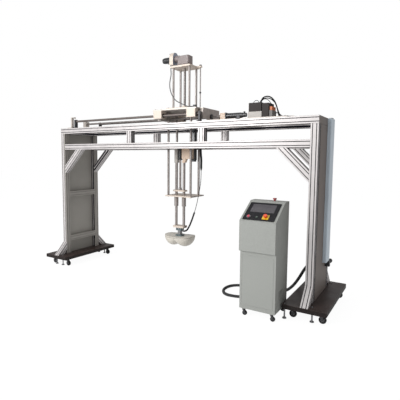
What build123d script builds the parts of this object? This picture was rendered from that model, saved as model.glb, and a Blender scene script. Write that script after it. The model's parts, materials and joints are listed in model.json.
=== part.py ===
from build123d import *
import math
import os

# Mattress compression tester: a slotted aluminium gantry on two wheeled base plates.
# A carriage slides along the bridge (X), a lift frame and a press slide up and down (Z)
# and a free-standing control console stands in front.  Millimetres, Z up, floor at z = 0.
# Everything is drawn round the middle of the gantry and moved by GANTRY_Y when saved.

# Gantry frame
FRAME_X = 3760.0          # over the columns
FRAME_Y = 670.0           # over the columns
PROFILE = 80.0            # side of every slotted bar
PROFILE_R = 3.0
SLOT_PITCH = 40.0         # between the two T-slots in one side
SLOT_MOUTH = 8.2
SLOT_LIP = 4.5
SLOT_BELLY = 20.0
SLOT_FLOOR = 12.0
SLOT_DEPTH = 12.5
TOP_Z = 2050.0            # top of the upper beams
LOWER_BEAM_TOP = 1815.0
POST_X = 550.0            # posts between the two beams
BRACE_LEG = 294.0         # corner brace, from the corner to its centre line
STRUT_REACH = 175.0       # foot strut, from the column face to its outer foot
STRUT_RISE = 180.0
MID_BAR_Z = 1060.0        # centre of the middle crossbar of a leg
LOW_BAR_Z = 375.0
PANEL_T = 4.0
PANEL_INSET = 18.0        # side panel, behind the outer face of the columns

# Base plates, levelling feet and casters
PLATE_X = 440.0
PLATE_Y = 1040.0
PLATE_T = 45.0
PLATE_TOP = 150.0
PLATE_R = 12.0
FOOT_IN_X = 66.0          # feet between the casters
FOOT_IN_Y = 440.0
FOOT_OUT_X = 195.0        # feet at the inner corners of the right plate
FOOT_OUT_Y = 494.0
FOOT_PAD_R = 21.0
FOOT_STEM_R = 8.0
CASTER_X = 146.0
CASTER_Y = 418.0
WHEEL_D = 75.0
WHEEL_W = 25.0
SMALL_WHEEL_D = 50.0
SMALL_WHEEL_W = 20.0
WHEEL_GAP = 1.0           # wheels hang just clear while the feet carry the weight

# Carriage drive
RAIL_Z = 2150.0           # axis of the two guide shafts
RAIL_R = 15.0
RAIL_Y = 250.0            # of each shaft from the middle
RAIL_X0 = 225.0 - FRAME_X / 2
RAIL_X1 = 498.0
STAND_T = 26.0            # shaft stand along X
DECK_X0 = 616.0
SCREW_Z = 2130.0
SCREW_R = 12.0
NUT_R = 22.0
MOTOR_R = 30.0            # carriage servo
RUN_GAP = 0.05            # radial clearance of every running fit
AIR = 0.5                 # radial clearance where a rod only passes

# Carriage, tower and lift
CARRIAGE_X0 = -180.0
CARRIAGE_X1 = 460.0
CARRIAGE_Y = 590.0
MEMBER_T = 44.0           # end members along X
MEMBER_Y = 210.0
CARRIAGE_TOP = 2225.0
CARRIAGE_T = 15.0
BLOCK_Z0 = 2112.0
TOWER_X = 112.0
TOWER_DX = 120.0
TOWER_DY = 84.0
TOWER_ROD_R = 14.0
TOWER_TOP = 2780.0
TOWER_PLATE_T = 20.0
LIFT_SCREW_R = 15.0
LIMIT_ROD_R = 7.0
DRIVE_Z = 2892.0          # axis of the gearmotor
LIFT_X = 99.0
LIFT_DX = 171.0
LIFT_DY = 100.0
LIFT_ROD_R = 15.0
NUT_PLATE_Z = CARRIAGE_TOP + 10
NUT_PLATE_T = 25.0
UNIT_Z = 1745.0           # underside of the plate that carries the press
UNIT_T = 25.0
LOWER_Z = 1120.0
LOWER_T = 15.0

# Press
PRESS_X = 48.0
PRESS_DX = 59.5
PRESS_ROD_R = 18.0
PRESS_ROD_TOP = 1600.0
PISTON_R = 15.0
PISTON_TOP = 1642.0
CYLINDER_R = 30.0
MOTOR_X0 = 192.0          # press servo, its four sides
MOTOR_X1 = 250.0
MOTOR_Y0 = 18.0
MOTOR_Y1 = 86.0
MOTOR_TOP = 2000.0
MOTOR_Z0 = 1592.0
CYLINDER_Z0 = 1595.0
CYLINDER_Z1 = 1825.0
YOKE_Z = LOWER_Z + 60
YOKE_T = 20.0
FOOT_PLATE_Z = 698.0
FOOT_PLATE_T = 26.0
CELL_R = 36.0
CELL_Z0 = 585.0
BODY_X = 410.0            # loading body over the rim
BODY_Y = 300.0
BODY_RIM_Z = 565.0
LOBE_X = 89.5             # each lobe from the middle
LOBE_DEPTH = 110.0
NOTCH_DEPTH = 78.0

# Console
CONSOLE_X0 = 1222.0
CONSOLE_X1 = 1602.0
CONSOLE_LOW_Y = 668.0     # lower front, measured forward of the gantry middle
CONSOLE_FRONT_Y = 705.0
CONSOLE_BACK_Y = 300.0
CONSOLE_Z0 = 78.0
CONSOLE_T = 3.0           # sheet of the housing
CONSOLE_TOP = 1180.0
SLOPE_Z = 1000.0
SLOPE_Y = 433.0
BEZEL_T = 6.0
TOP_BUTTON_X = 1470.0

# Cords
HOSE_R = 15.0
HOSE_Z = 452.0            # where the hose enters the right leg
WIRE_R = 5.0
TOWER_CABLE_R = 6.0
BUNDLE_R = 14.0
CELL_CABLE_R = 4.0

COLUMN_X = (FRAME_X - PROFILE) / 2
COLUMN_Y = (FRAME_Y - PROFILE) / 2
BEAM_Z = TOP_Z - PROFILE / 2
LOWER_BEAM_Z = LOWER_BEAM_TOP - PROFILE / 2
GANTRY_Y = (CONSOLE_FRONT_Y - PLATE_Y / 2) / 2
NODE_NAMES = []

os.makedirs("parts", exist_ok=True)


def save(name, *pieces):
    """Write the solids of one node, moved from the gantry middle to the part frame."""
    solids = []
    for piece in pieces:
        solids += (Pos(0, GANTRY_Y, 0) * piece).solids()
    whole = solids[0] if len(solids) == 1 else Compound(solids)
    whole.label = name
    export_step(whole, f"parts/{name}.step")
    NODE_NAMES.append(name)


def block(x0, x1, y0, y1, z0, z1):
    """A box from its six sides."""
    middle = Pos((x0 + x1) / 2, (y0 + y1) / 2, (z0 + z1) / 2)
    return middle * Box(abs(x1 - x0), abs(y1 - y0), abs(z1 - z0))


def soft_block(x0, x1, y0, y1, z0, z1, radius):
    """A box with rounded upright edges."""
    outline = RectangleRounded(abs(x1 - x0), abs(y1 - y0), radius)
    return Pos((x0 + x1) / 2, (y0 + y1) / 2, min(z0, z1)) * extrude(outline, abs(z1 - z0))


def upright(x, y, z0, z1, radius):
    """A cylinder along Z."""
    return Pos(x, y, (z0 + z1) / 2) * Cylinder(radius, z1 - z0)


def along_x(x0, x1, y, z, radius):
    """A cylinder along X."""
    return Pos((x0 + x1) / 2, y, z) * Rot(0, 90, 0) * Cylinder(radius, x1 - x0)


def along_y(x, y0, y1, z, radius):
    """A cylinder along Y."""
    return Pos(x, (y0 + y1) / 2, z) * Rot(90, 0, 0) * Cylinder(radius, y1 - y0)


def four(x, y):
    """The four positions round the middle."""
    return [(sx * x, sy * y) for sx in (-1, 1) for sy in (-1, 1)]


def slotted_section():
    """The bar section: a square with two T-slots in each side."""
    face = RectangleRounded(PROFILE, PROFILE, PROFILE_R)
    surface = PROFILE / 2
    tee = Polygon(
        (-SLOT_MOUTH / 2, surface + 1),
        (-SLOT_MOUTH / 2, surface - SLOT_LIP),
        (-SLOT_BELLY / 2, surface - SLOT_LIP),
        (-SLOT_FLOOR / 2, surface - SLOT_DEPTH),
        (SLOT_FLOOR / 2, surface - SLOT_DEPTH),
        (SLOT_BELLY / 2, surface - SLOT_LIP),
        (SLOT_MOUTH / 2, surface - SLOT_LIP),
        (SLOT_MOUTH / 2, surface + 1),
        align=None,
    )
    cuts = []
    for quarter in range(4):
        for side in (-1, 1):
            cuts.append(Rot(0, 0, 90 * quarter) * Pos(side * SLOT_PITCH / 2, 0) * tee)
    return face - cuts


SECTION = slotted_section()


def bar(start, end):
    """A slotted bar between two points on its centre line."""
    run = Vector(*end) - Vector(*start)
    x_dir = (0, 1, 0) if abs(run.X) > 1 else (1, 0, 0)
    return extrude(Plane(start, x_dir=x_dir, z_dir=run) * SECTION, run.length)


def cord(name, points, radius):
    """A round cord along straight runs and tangent arcs."""
    runs = [(Vector(*b) - Vector(*a)) for a, b in zip(points, points[1:])]
    radii = []
    for before, after in zip(runs, runs[1:]):
        turn = before.get_angle(after)
        shorter = min(before.length, after.length)
        radii.append(0.45 * shorter / math.tan(math.radians(turn / 2)))
    path = FilletPolyline(*points, radius=radii)
    print(name, "arc radii", [round(r) for r in radii], "length", round(path.length))
    start = Plane(points[0], z_dir=runs[0])
    return sweep(start * Circle(radius), path=path)


# Bridge: two upper beams over the columns, two lower beams, posts and end bars
bridge = []
for side in (-1, 1):
    y = side * COLUMN_Y
    bridge.append(bar((-FRAME_X / 2, y, BEAM_Z), (FRAME_X / 2, y, BEAM_Z)))
    inner = FRAME_X / 2 - PROFILE
    bridge.append(bar((-inner, y, LOWER_BEAM_Z), (inner, y, LOWER_BEAM_Z)))
    for x in (-POST_X, POST_X):
        bridge.append(bar((x, y, LOWER_BEAM_TOP), (x, y, TOP_Z - PROFILE)))
    end_y = COLUMN_Y - PROFILE / 2
    bridge.append(bar((side * COLUMN_X, -end_y, BEAM_Z), (side * COLUMN_X, end_y, BEAM_Z)))
save("bridge_frame", *bridge)

# Leg frames: two columns and two crossbars on each side
legs = []
for x, y in four(COLUMN_X, COLUMN_Y):
    legs.append(bar((x, y, PLATE_TOP), (x, y, TOP_Z - PROFILE)))
for x in (-COLUMN_X, COLUMN_X):
    for z in (LOW_BAR_Z, MID_BAR_Z):
        legs.append(bar((x, -end_y, z), (x, end_y, z)))
save("leg_frames", *legs)

# Braces: a corner brace under each end of the lower beams, a foot strut at each column
corner_x = FRAME_X / 2 - PROFILE
corner_z = LOWER_BEAM_TOP - PROFILE
braces = []
for y in (-COLUMN_Y, COLUMN_Y):
    lean = bar(
        (corner_x - BRACE_LEG - 80, y, corner_z + 80),
        (corner_x + 80, y, corner_z - BRACE_LEG - 80),
    )
    room = block(corner_x - 700, corner_x, y - PROFILE, y + PROFILE, corner_z - 700, corner_z)
    brace = lean & room
    braces += [brace, mirror(brace, about=Plane.YZ)]
column_face = FRAME_Y / 2
slope = math.atan2(STRUT_RISE, STRUT_REACH)
foot_in = PROFILE / 2 / math.sin(slope)
foot = (COLUMN_X, column_face + STRUT_REACH - foot_in, PLATE_TOP)
lean_y = 120 * math.cos(slope)
lean_z = 120 * math.sin(slope)
head_z = PLATE_TOP + (STRUT_REACH - foot_in) * math.tan(slope)
lean = bar(
    (COLUMN_X, foot[1] + lean_y, PLATE_TOP - lean_z),
    (COLUMN_X, column_face - lean_y, head_z + lean_z),
)
room = block(COLUMN_X - 60, COLUMN_X + 60, column_face, column_face + 400, PLATE_TOP, 800)
strut = lean & room
for other in (strut, mirror(strut, about=Plane.YZ)):
    braces += [other, mirror(other, about=Plane.XZ)]
save("frame_braces", *braces)

# Side panels: sheets set in between the columns and crossbars of each leg
panels = []
panel_x = FRAME_X / 2 - PANEL_INSET
panel_levels = (
    (PLATE_TOP, LOW_BAR_Z - PROFILE / 2),
    (LOW_BAR_Z + PROFILE / 2, MID_BAR_Z - PROFILE / 2),
    (MID_BAR_Z + PROFILE / 2, TOP_Z - PROFILE),
)
for side in (-1, 1):
    for z0, z1 in panel_levels:
        x = side * panel_x
        panel = block(x - PANEL_T / 2, x + PANEL_T / 2, -end_y, end_y, z0, z1)
        if z0 < HOSE_Z < z1 and side == 1:
            panel -= along_x(x - 10, x + 10, 190, HOSE_Z, HOSE_R + 6)
        panels.append(panel)
save("side_panels", *panels)

# Base plates, levelling feet and the mounting plates of the casters
plates = []
fittings = []
plate_z0 = PLATE_TOP - PLATE_T
for middle in (-COLUMN_X, COLUMN_X):
    plate = soft_block(
        middle - PLATE_X / 2, middle + PLATE_X / 2, -PLATE_Y / 2, PLATE_Y / 2,
        plate_z0, PLATE_TOP, PLATE_R,
    )
    plate = chamfer(plate.faces().sort_by(Axis.Z)[-1].edges(), 2)
    feet = four(FOOT_IN_X, FOOT_IN_Y)
    if middle > 0:
        feet = feet[2:] + [(-FOOT_OUT_X, -FOOT_OUT_Y), (-FOOT_OUT_X, FOOT_OUT_Y)]
    for dx, y in feet:
        x = middle + dx
        plate -= upright(x, y, plate_z0 - 1, PLATE_TOP + 1, FOOT_STEM_R)
        stem = upright(x, y, 10, PLATE_TOP + 8, FOOT_STEM_R)
        pad = upright(x, y, 0, 12, FOOT_PAD_R)
        pad = chamfer(pad.edges().group_by(Axis.Z)[-1], 4)
        nut = Pos(x, y, plate_z0 - 10) * extrude(RegularPolygon(13, 6), 10)
        fittings.append(pad + stem + nut)
    plates.append(plate)
save("base_plates", *plates)


def caster(wheel_d, wheel_w, top_z):
    """Mounting plate, fork and wheel of a swivel caster, its swivel axis on Z."""
    reach = wheel_d * 0.24
    width = wheel_w + 2
    axle_z = wheel_d / 2 + WHEEL_GAP
    mount = Pos(0, 0, top_z - 4) * extrude(RectangleRounded(wheel_d * 0.8, wheel_d * 0.72, 5), 4)
    mount += upright(0, 0, top_z - 9, top_z - 4, wheel_d * 0.26)
    race_z = top_z - 9 - RUN_GAP
    race = upright(0, 0, race_z - 7, race_z, wheel_d * 0.3)
    crown = soft_block(-reach * 0.9, reach * 1.1, -width / 2 - 3, width / 2 + 3, race_z - 10, race_z - 7, 3)
    cheek_plan = Polygon(
        (reach - wheel_d * 0.15, axle_z), (reach + wheel_d * 0.15, axle_z),
        (reach * 1.1, race_z - 7), (-reach * 0.9, race_z - 7), align=None,
    )
    cheek_plan += Pos(reach, axle_z) * Circle(wheel_d * 0.15)
    cheek = extrude(Plane.XZ * cheek_plan, 3)
    fork = race + crown + Pos(0, -width / 2, 0) * cheek + Pos(0, width / 2 + 3, 0) * cheek
    fork += along_y(reach, -width / 2 - 6, width / 2 + 6, axle_z, 4)
    wheel = along_y(reach, -wheel_w / 2, wheel_w / 2, axle_z, wheel_d / 2)
    wheel = fillet(wheel.edges(), wheel_w * 0.22)
    for side in (-1, 1):
        y0, y1 = sorted((side * (wheel_w / 2 - 3), side * (wheel_w / 2 + 1)))
        wheel -= along_y(reach, y0, y1, axle_z, wheel_d * 0.33)
        y0, y1 = sorted((side * (wheel_w / 2 - 4), side * (wheel_w / 2 + 0.5)))
        wheel += along_y(reach, y0, y1, axle_z, wheel_d * 0.14)
    wheel -= along_y(reach, -wheel_w, wheel_w, axle_z, 4 + RUN_GAP)
    return mount, fork, wheel


def set_casters(prefix, places, wheel_d, wheel_w, top_z):
    """Save a fork and a wheel at every place; return the fixed mounting plates."""
    mount, fork, wheel = caster(wheel_d, wheel_w, top_z)
    mounts = []
    for number, (x, y, heading) in enumerate(places, start=1):
        spot = Pos(x, y, 0) * Rot(0, 0, heading)
        save(f"{prefix}_fork_{number}", spot * fork)
        save(f"{prefix}_wheel_{number}", spot * wheel)
        mounts.append(spot * mount)
    return mounts


gantry_places = []
for middle in (-COLUMN_X, COLUMN_X):
    for dx, y in four(CASTER_X, CASTER_Y):
        gantry_places.append((middle + dx, y, 0))
fittings += set_casters("gantry", gantry_places, WHEEL_D, WHEEL_W, plate_z0)
console_x = (CONSOLE_X0 + CONSOLE_X1) / 2
console_places = []
for dx, y in four(150, 158):
    console_places.append((console_x + dx, y - 484, 0))
fittings += set_casters("console", console_places, SMALL_WHEEL_D, SMALL_WHEEL_W, CONSOLE_Z0)
save("floor_fittings", *fittings)

# Guide shafts, held at their ends by the stands
save("guide_shafts", *[along_x(RAIL_X0, RAIL_X1, y, RAIL_Z, RAIL_R) for y in (-RAIL_Y, RAIL_Y)])

# Brackets on the bridge: shaft stands, screw bearing, coupling box, motor shelf, switch post and tray
deck_z = TOP_Z + 8
deck_y = COLUMN_Y + PROFILE / 2
left_deck = block(RAIL_X0 - 80, RAIL_X0 - 3, -deck_y, deck_y, TOP_Z, deck_z)
bearing_x = RAIL_X0 - 67
bearing = soft_block(bearing_x, bearing_x + 58, -38, 38, deck_z, SCREW_Z + 34, 4)
bearing -= along_x(bearing_x - 1, bearing_x + 59, 0, SCREW_Z, SCREW_R + RUN_GAP)
post_x = RAIL_X0 - 77
post = soft_block(post_x, post_x + 24, -270, -232, deck_z, SCREW_Z + 75, 3)
post += block(post_x, post_x + 72, -266, -236, SCREW_Z + 75, SCREW_Z + 83)
post += block(post_x + 66, post_x + 72, -266, -236, SCREW_Z + 62, SCREW_Z + 75)
right_deck = block(DECK_X0, 985, -deck_y, deck_y, TOP_Z, deck_z)
coupling_box = soft_block(640, 709, -36, 36, deck_z, SCREW_Z + 36, 5)
coupling_box -= along_x(639, 710, 0, SCREW_Z, SCREW_R + 8)
saddle = block(860, 900, -34, 34, deck_z, SCREW_Z)
saddle -= along_x(850, 910, 0, SCREW_Z, MOTOR_R)
tray = block(1040, 1560, -deck_y, -deck_y + 250, TOP_Z, deck_z)
tray += block(1040, 1560, -deck_y + 246, -deck_y + 250, deck_z, deck_z + 26)
brackets = [left_deck, bearing, post, right_deck, coupling_box, saddle, tray]
for side in (-1, 1):
    for x in (RAIL_X0, RAIL_X1 - STAND_T):
        y0, y1 = sorted((side * (RAIL_Y - 24), side * (RAIL_Y + 24)))
        stand = soft_block(x, x + STAND_T, y0, y1, TOP_Z, RAIL_Z + 24, 2)
        y0, y1 = sorted((side * (RAIL_Y + 20), side * (RAIL_Y + 62)))
        stand += block(x, x + STAND_T, y0, y1, TOP_Z, TOP_Z + 12)
        brackets.append(stand - along_x(x - 1, x + STAND_T + 1, side * RAIL_Y, RAIL_Z, RAIL_R))
save("bridge_brackets", *brackets)

# Servo motor of the carriage drive
servo = along_x(709, 925, 0, SCREW_Z, MOTOR_R)
servo += soft_block(709, 719, -38, 38, SCREW_Z - 38, SCREW_Z + 38, 4)
servo += along_x(925, 971, 0, SCREW_Z, MOTOR_R - 5)
servo += upright(945, 0, SCREW_Z, SCREW_Z + MOTOR_R + 12, 11)
save("x_servo_motor", servo)

# Control modules on the tray
supply = soft_block(1121, 1279, -314, -174, deck_z, 2123, 3)
relay = soft_block(1128, 1272, -308, -180, 2123, 2218, 3)
for number in range(6):
    z = 2138 + 12 * number
    relay -= block(1270, 1276, -296, -192, z, z + 5)
drive = soft_block(1281, 1357, -314, -150, deck_z, 2206, 3)
for number in range(9):
    y = -300 + 16 * number
    drive -= block(1289, 1349, y, y + 6, 2198, 2207)
terminal = block(1358, 1392, -304, -176, deck_z, 2128)
for number in range(5):
    y = -298 + 24 * number
    terminal += block(1362, 1388, y, y + 18, 2128, 2168)
save("control_modules", supply, relay, drive, terminal)

# Cable from the terminal block along the tray
wire_points = [
    (1392, -196, 2110), (1424, -196, 2110), (1452, -206, 2080), (1478, -212, 2067),
    (1506, -209, 2074), (1532, -201, 2066), (1554, -194, 2064),
]
save("module_cable", cord("module_cable", wire_points, WIRE_R))

# Screw of the carriage drive: threaded length, plain ends and coupling
screw = along_x(RAIL_X0 - 61, 690, 0, SCREW_Z, SCREW_R)
screw += along_x(RAIL_X0 + 35, 600, 0, SCREW_Z, SCREW_R + 1)
screw += along_x(655, 706, 0, SCREW_Z, SCREW_R + 6)
save("x_lead_screw", screw)

# Carriage: top plate on two end members that span the bridge
lift_spots = [(LIFT_X + dx, y) for dx, y in four(LIFT_DX, LIFT_DY)]
tower_spots = [(TOWER_X + dx, y) for dx, y in four(TOWER_DX, TOWER_DY)]
plate_z = CARRIAGE_TOP - CARRIAGE_T
carriage = soft_block(CARRIAGE_X0, CARRIAGE_X1, -CARRIAGE_Y / 2, CARRIAGE_Y / 2, plate_z, CARRIAGE_TOP, 6)
bush_r = LIFT_ROD_R + 8
for x, y in lift_spots:
    carriage -= upright(x, y, plate_z - 1, CARRIAGE_TOP + 1, bush_r)
for x, y in tower_spots:
    carriage -= upright(x, y, plate_z - 1, CARRIAGE_TOP + 1, TOWER_ROD_R)
carriage -= upright(TOWER_X, 0, plate_z - 1, CARRIAGE_TOP + 1, LIFT_SCREW_R + 8)
member_z0 = SCREW_Z - NUT_R - 10
member_x1 = CARRIAGE_X1 + MEMBER_T
right_member = block(CARRIAGE_X1, member_x1, -MEMBER_Y, MEMBER_Y, member_z0, CARRIAGE_TOP)
right_member += block(CARRIAGE_X1 - 44, CARRIAGE_X1, -190, 190, plate_z - 14, plate_z)
right_member -= along_x(CARRIAGE_X1 - 1, member_x1 + 1, 0, SCREW_Z, NUT_R)
left_member = block(-176, -176 + MEMBER_T, -190, 190, member_z0, plate_z)
left_member -= along_x(-177, -175 + MEMBER_T, 0, SCREW_Z, SCREW_R + 6)
save("carriage_frame", carriage, right_member, left_member)

# Linear bearing blocks on the guide shafts
bearings = []
for side in (-1, 1):
    y = side * RAIL_Y
    for x0, x1 in ((-173, -48), (320, 444)):
        body = soft_block(x0, x1, y - 45, y + 45, BLOCK_Z0, plate_z, 4)
        body -= along_x(x0 - 1, x1 + 1, y, RAIL_Z, RAIL_R + RUN_GAP)
        bearings.append(body)
nut = along_x(CARRIAGE_X1 - 8, member_x1 + 10, 0, SCREW_Z, NUT_R)
nut += along_x(member_x1, member_x1 + 10, 0, SCREW_Z, NUT_R + 12)
nut -= along_x(CARRIAGE_X1 - 10, member_x1 + 12, 0, SCREW_Z, SCREW_R + 1 + RUN_GAP)
bearings.append(nut)
for x, y in lift_spots:
    bush = upright(x, y, plate_z - 22, CARRIAGE_TOP, bush_r)
    bush += upright(x, y, plate_z - 5, plate_z, bush_r + 7)
    bearings.append(bush - upright(x, y, plate_z - 30, CARRIAGE_TOP + 8, LIFT_ROD_R + RUN_GAP))
lower_bearing = upright(TOWER_X, 0, plate_z - 8, CARRIAGE_TOP, LIFT_SCREW_R + 8)
lower_bearing -= upright(TOWER_X, 0, plate_z - 3, CARRIAGE_TOP + 1, LIFT_SCREW_R + RUN_GAP)
bearings.append(lower_bearing)
save("carriage_bearings", *bearings)

# Tower: four rods under a top plate, with the rod that carries the limit collars
top_z0 = TOWER_TOP - TOWER_PLATE_T
top_plate = soft_block(TOWER_X - 150, TOWER_X + 150, -125, 125, top_z0, TOWER_TOP, 10)
top_plate += block(TOWER_X + 148, 326, 38, 72, top_z0, TOWER_TOP)
top_plate -= upright(TOWER_X, 0, top_z0 - 1, TOWER_TOP + 1, LIFT_SCREW_R + RUN_GAP)
top_plate -= upright(310, 55, top_z0 - 1, TOWER_TOP + 1, LIMIT_ROD_R)
tower = []
for x, y in tower_spots:
    top_plate -= upright(x, y, top_z0 - 1, TOWER_TOP + 1, TOWER_ROD_R)
    tower.append(upright(x, y, plate_z, TOWER_TOP + 6, TOWER_ROD_R))
limit_rod = upright(310, 55, CARRIAGE_TOP, TOWER_TOP + 14, LIMIT_ROD_R)
limit_rod += upright(310, 55, TOWER_TOP, TOWER_TOP + 14, 15)
limit_rod += upright(310, 55, CARRIAGE_TOP, CARRIAGE_TOP + 10, 12)
limit_rod += upright(310, 55, 2440, 2458, 12)
tower += [top_plate, limit_rod]
save("lift_tower", *tower)

# Gearmotor on the tower: gearbox on a riser, round-topped flange and motor
riser_top = TOWER_TOP + 26
gear_z0 = riser_top + 10
gear = soft_block(30, 198, -56, 56, gear_z0, DRIVE_Z + 23, 14)
gear = fillet(gear.faces().sort_by(Axis.Z)[-1].edges(), 8)
gear += block(40, 190, -70, 70, riser_top, gear_z0)
riser = block(46, 190, -60, 60, TOWER_TOP, riser_top)
riser -= upright(TOWER_X, 0, TOWER_TOP - 1, riser_top + 1, LIFT_SCREW_R + 8)
gear -= upright(TOWER_X, 0, riser_top - 1, gear_z0 + 14, LIFT_SCREW_R + RUN_GAP)
gear += along_x(-30, 30, 0, DRIVE_Z, 42)
flange = block(-86, -30, -66, 66, gear_z0 - 1, DRIVE_Z + 12)
flange += along_x(-86, -30, 0, DRIVE_Z + 18, 66)
motor = along_x(-196, -86, 0, DRIVE_Z, 38)
motor += along_x(-220, -196, 0, DRIVE_Z, 33)
motor += block(-150, -96, -20, 20, DRIVE_Z - 46, DRIVE_Z - 20)
save("lift_gearmotor", gear, riser, flange, motor)

# Motor cable of the lift drive, down beside the tower to a socket on the carriage
socket_x = 345
socket = soft_block(socket_x, socket_x + 34, -182, -148, CARRIAGE_TOP, CARRIAGE_TOP + 44, 3)
cable_points = [
    (-108, 0, DRIVE_Z - 46), (-108, 0, 2790), (-84, -24, 2696), (-66, -84, 2600),
    (-28, -140, 2509), (18, -162, 2414), (84, -168, 2336), (160, -170, 2302),
    (240, -165, 2262), (290, -165, 2250), (socket_x, -165, 2250),
]
save("lift_motor_cable", cord("lift_motor_cable", cable_points, TOWER_CABLE_R), socket)

# Lift screw
lift_screw = upright(TOWER_X, 0, plate_z - 2, gear_z0 + 12, LIFT_SCREW_R)
save("lift_lead_screw", lift_screw)

# Lift frame: nut plate, press plate and lower plate on four rods
def plate_with_rods(x0, x1, y0, y1, z0, z1):
    """A plate of the lift frame with the bores of its four rods."""
    plate = soft_block(x0, x1, y0, y1, z0, z1, 6)
    for x, y in lift_spots:
        plate -= upright(x, y, z0 - 1, z1 + 1, LIFT_ROD_R)
    return plate


nut_plate = plate_with_rods(-100, 294, -124, 124, NUT_PLATE_Z, NUT_PLATE_Z + NUT_PLATE_T)
for x, y in tower_spots:
    nut_plate -= upright(x, y, NUT_PLATE_Z - 1, NUT_PLATE_Z + 50, TOWER_ROD_R + RUN_GAP)
nut_plate += upright(TOWER_X, 0, NUT_PLATE_Z + NUT_PLATE_T, NUT_PLATE_Z + 60, 30)
nut_plate -= upright(TOWER_X, 0, NUT_PLATE_Z - 1, NUT_PLATE_Z + 61, LIFT_SCREW_R + RUN_GAP)
unit_plate = plate_with_rods(-95, 350, -126, 126, UNIT_Z, UNIT_Z + UNIT_T)
unit_plate -= upright(PRESS_X, 0, UNIT_Z - 1, UNIT_Z + 30, CYLINDER_R)
unit_plate -= block(MOTOR_X0, MOTOR_X1, MOTOR_Y0, MOTOR_Y1, UNIT_Z - 1, UNIT_Z + 30)
lower_plate = plate_with_rods(-95, 305, -145, 185, LOWER_Z, LOWER_Z + LOWER_T)
lower_plate -= block(284, 306, 44, 78, LOWER_Z - 1, LOWER_Z + 20)
press_spots = [PRESS_X - PRESS_DX, PRESS_X + PRESS_DX]
for x in press_spots:
    unit_plate -= upright(x, 0, UNIT_Z - 1, UNIT_Z + 30, PRESS_ROD_R + AIR)
    lower_plate -= upright(x, 0, LOWER_Z - 1, LOWER_Z + 20, PRESS_ROD_R + 6)
save("lift_plates", nut_plate, unit_plate, lower_plate)
rods = [upright(x, y, LOWER_Z, NUT_PLATE_Z + NUT_PLATE_T, LIFT_ROD_R) for x, y in lift_spots]
save("lift_rods", *rods)

# Guides of the press: bushes under the lower plate, housings under the press plate
guides = []
for x in press_spots:
    bush = upright(x, 0, LOWER_Z - 136, LOWER_Z, PRESS_ROD_R + 10)
    bush += upright(x, 0, LOWER_Z - 10, LOWER_Z, PRESS_ROD_R + 18)
    guides.append(bush - upright(x, 0, LOWER_Z - 140, LOWER_Z + 1, PRESS_ROD_R + RUN_GAP))
cylinder_edge = PRESS_X - CYLINDER_R - 0.5
left_guide = soft_block(press_spots[0] - 27, press_spots[0] + 29, -27, 46, 1559, UNIT_Z, 24)
right_guide = soft_block(press_spots[1] - 25, 152, -27, 24, 1610, UNIT_Z, 8)
right_guide += loft([
    Pos(128, -1.5, 1610) * Rectangle(48, 51),
    Pos(press_spots[1] + 1, 0, 1560) * Rectangle(44, 44),
])
gear_case = soft_block(152.5, 248, -42, 8, 1610, UNIT_Z, 5)
for guide, x in ((left_guide, press_spots[0]), (right_guide, press_spots[1])):
    guide -= upright(x, 0, 1550, UNIT_Z + 1, PRESS_ROD_R + RUN_GAP)
    guide -= upright(PRESS_X, 0, 1550, UNIT_Z + 1, CYLINDER_R + 0.5)
    guides.append(guide)
guides.append(gear_case)
save("press_guides", *guides)

# Cylinder and servo motor of the press
cylinder = upright(PRESS_X, 0, CYLINDER_Z0, CYLINDER_Z1, CYLINDER_R)
cylinder = chamfer(cylinder.edges().group_by(Axis.Z)[-1], 5)
cylinder -= upright(PRESS_X, 0, CYLINDER_Z0 - 1, CYLINDER_Z1 - 10, PISTON_R + RUN_GAP)
save("press_cylinder", cylinder)
press_motor = block(MOTOR_X0, MOTOR_X1, MOTOR_Y0, MOTOR_Y1, MOTOR_Z0, MOTOR_TOP)
press_motor = fillet(press_motor.edges().filter_by(Axis.Z), 2)
cap = soft_block(MOTOR_X0 + 4, MOTOR_X1 - 4, MOTOR_Y0 + 4, MOTOR_Y1 - 4, MOTOR_Z0 - 18, MOTOR_Z0, 6)
save("press_servo_motor", press_motor, cap)

# Cable bundle under the press plate, with the plug of the load cell cable
bundle_points = [
    (312, 76, UNIT_Z), (312, 76, 1690), (328, 68, 1600), (331, 60, 1540), (331, 60, 1486),
]
plug = upright(331, 60, 1464, 1486, 10)
save("cable_bundle", cord("cable_bundle", bundle_points, BUNDLE_R), plug)

# Press frame: foot plate, two guide rods, yoke and piston rod
foot_plate = soft_block(PRESS_X - 84, PRESS_X + 84, -50, 50, FOOT_PLATE_Z, FOOT_PLATE_Z + FOOT_PLATE_T, 8)
press = [foot_plate]
yoke = soft_block(PRESS_X - 92, PRESS_X + 92, -40, 40, YOKE_Z, YOKE_Z + YOKE_T, 12)
for x in press_spots:
    yoke -= upright(x, 0, YOKE_Z - 1, YOKE_Z + 30, PRESS_ROD_R)
    press.append(upright(x, 0, FOOT_PLATE_Z + FOOT_PLATE_T, PRESS_ROD_TOP, PRESS_ROD_R))
yoke += upright(PRESS_X, 0, YOKE_Z + YOKE_T, YOKE_Z + 40, PISTON_R + 8)
yoke -= upright(PRESS_X, 0, YOKE_Z + 10, YOKE_Z + 50, PISTON_R)
press += [yoke, upright(PRESS_X, 0, YOKE_Z + 10, PISTON_TOP, PISTON_R)]
save("press_frame", *press)

# Load cell between the foot plate and the loading body
cell = upright(PRESS_X, 0, CELL_Z0, FOOT_PLATE_Z, CELL_R)
cell -= upright(PRESS_X, 0, CELL_Z0 + 20, FOOT_PLATE_Z - 20, CELL_R + 1)
cell += upright(PRESS_X, 0, CELL_Z0 + 20, FOOT_PLATE_Z - 20, CELL_R - 6)
cell += along_x(PRESS_X + 20, 104, 0, 652, 8)
save("load_cell", cell)

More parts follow.
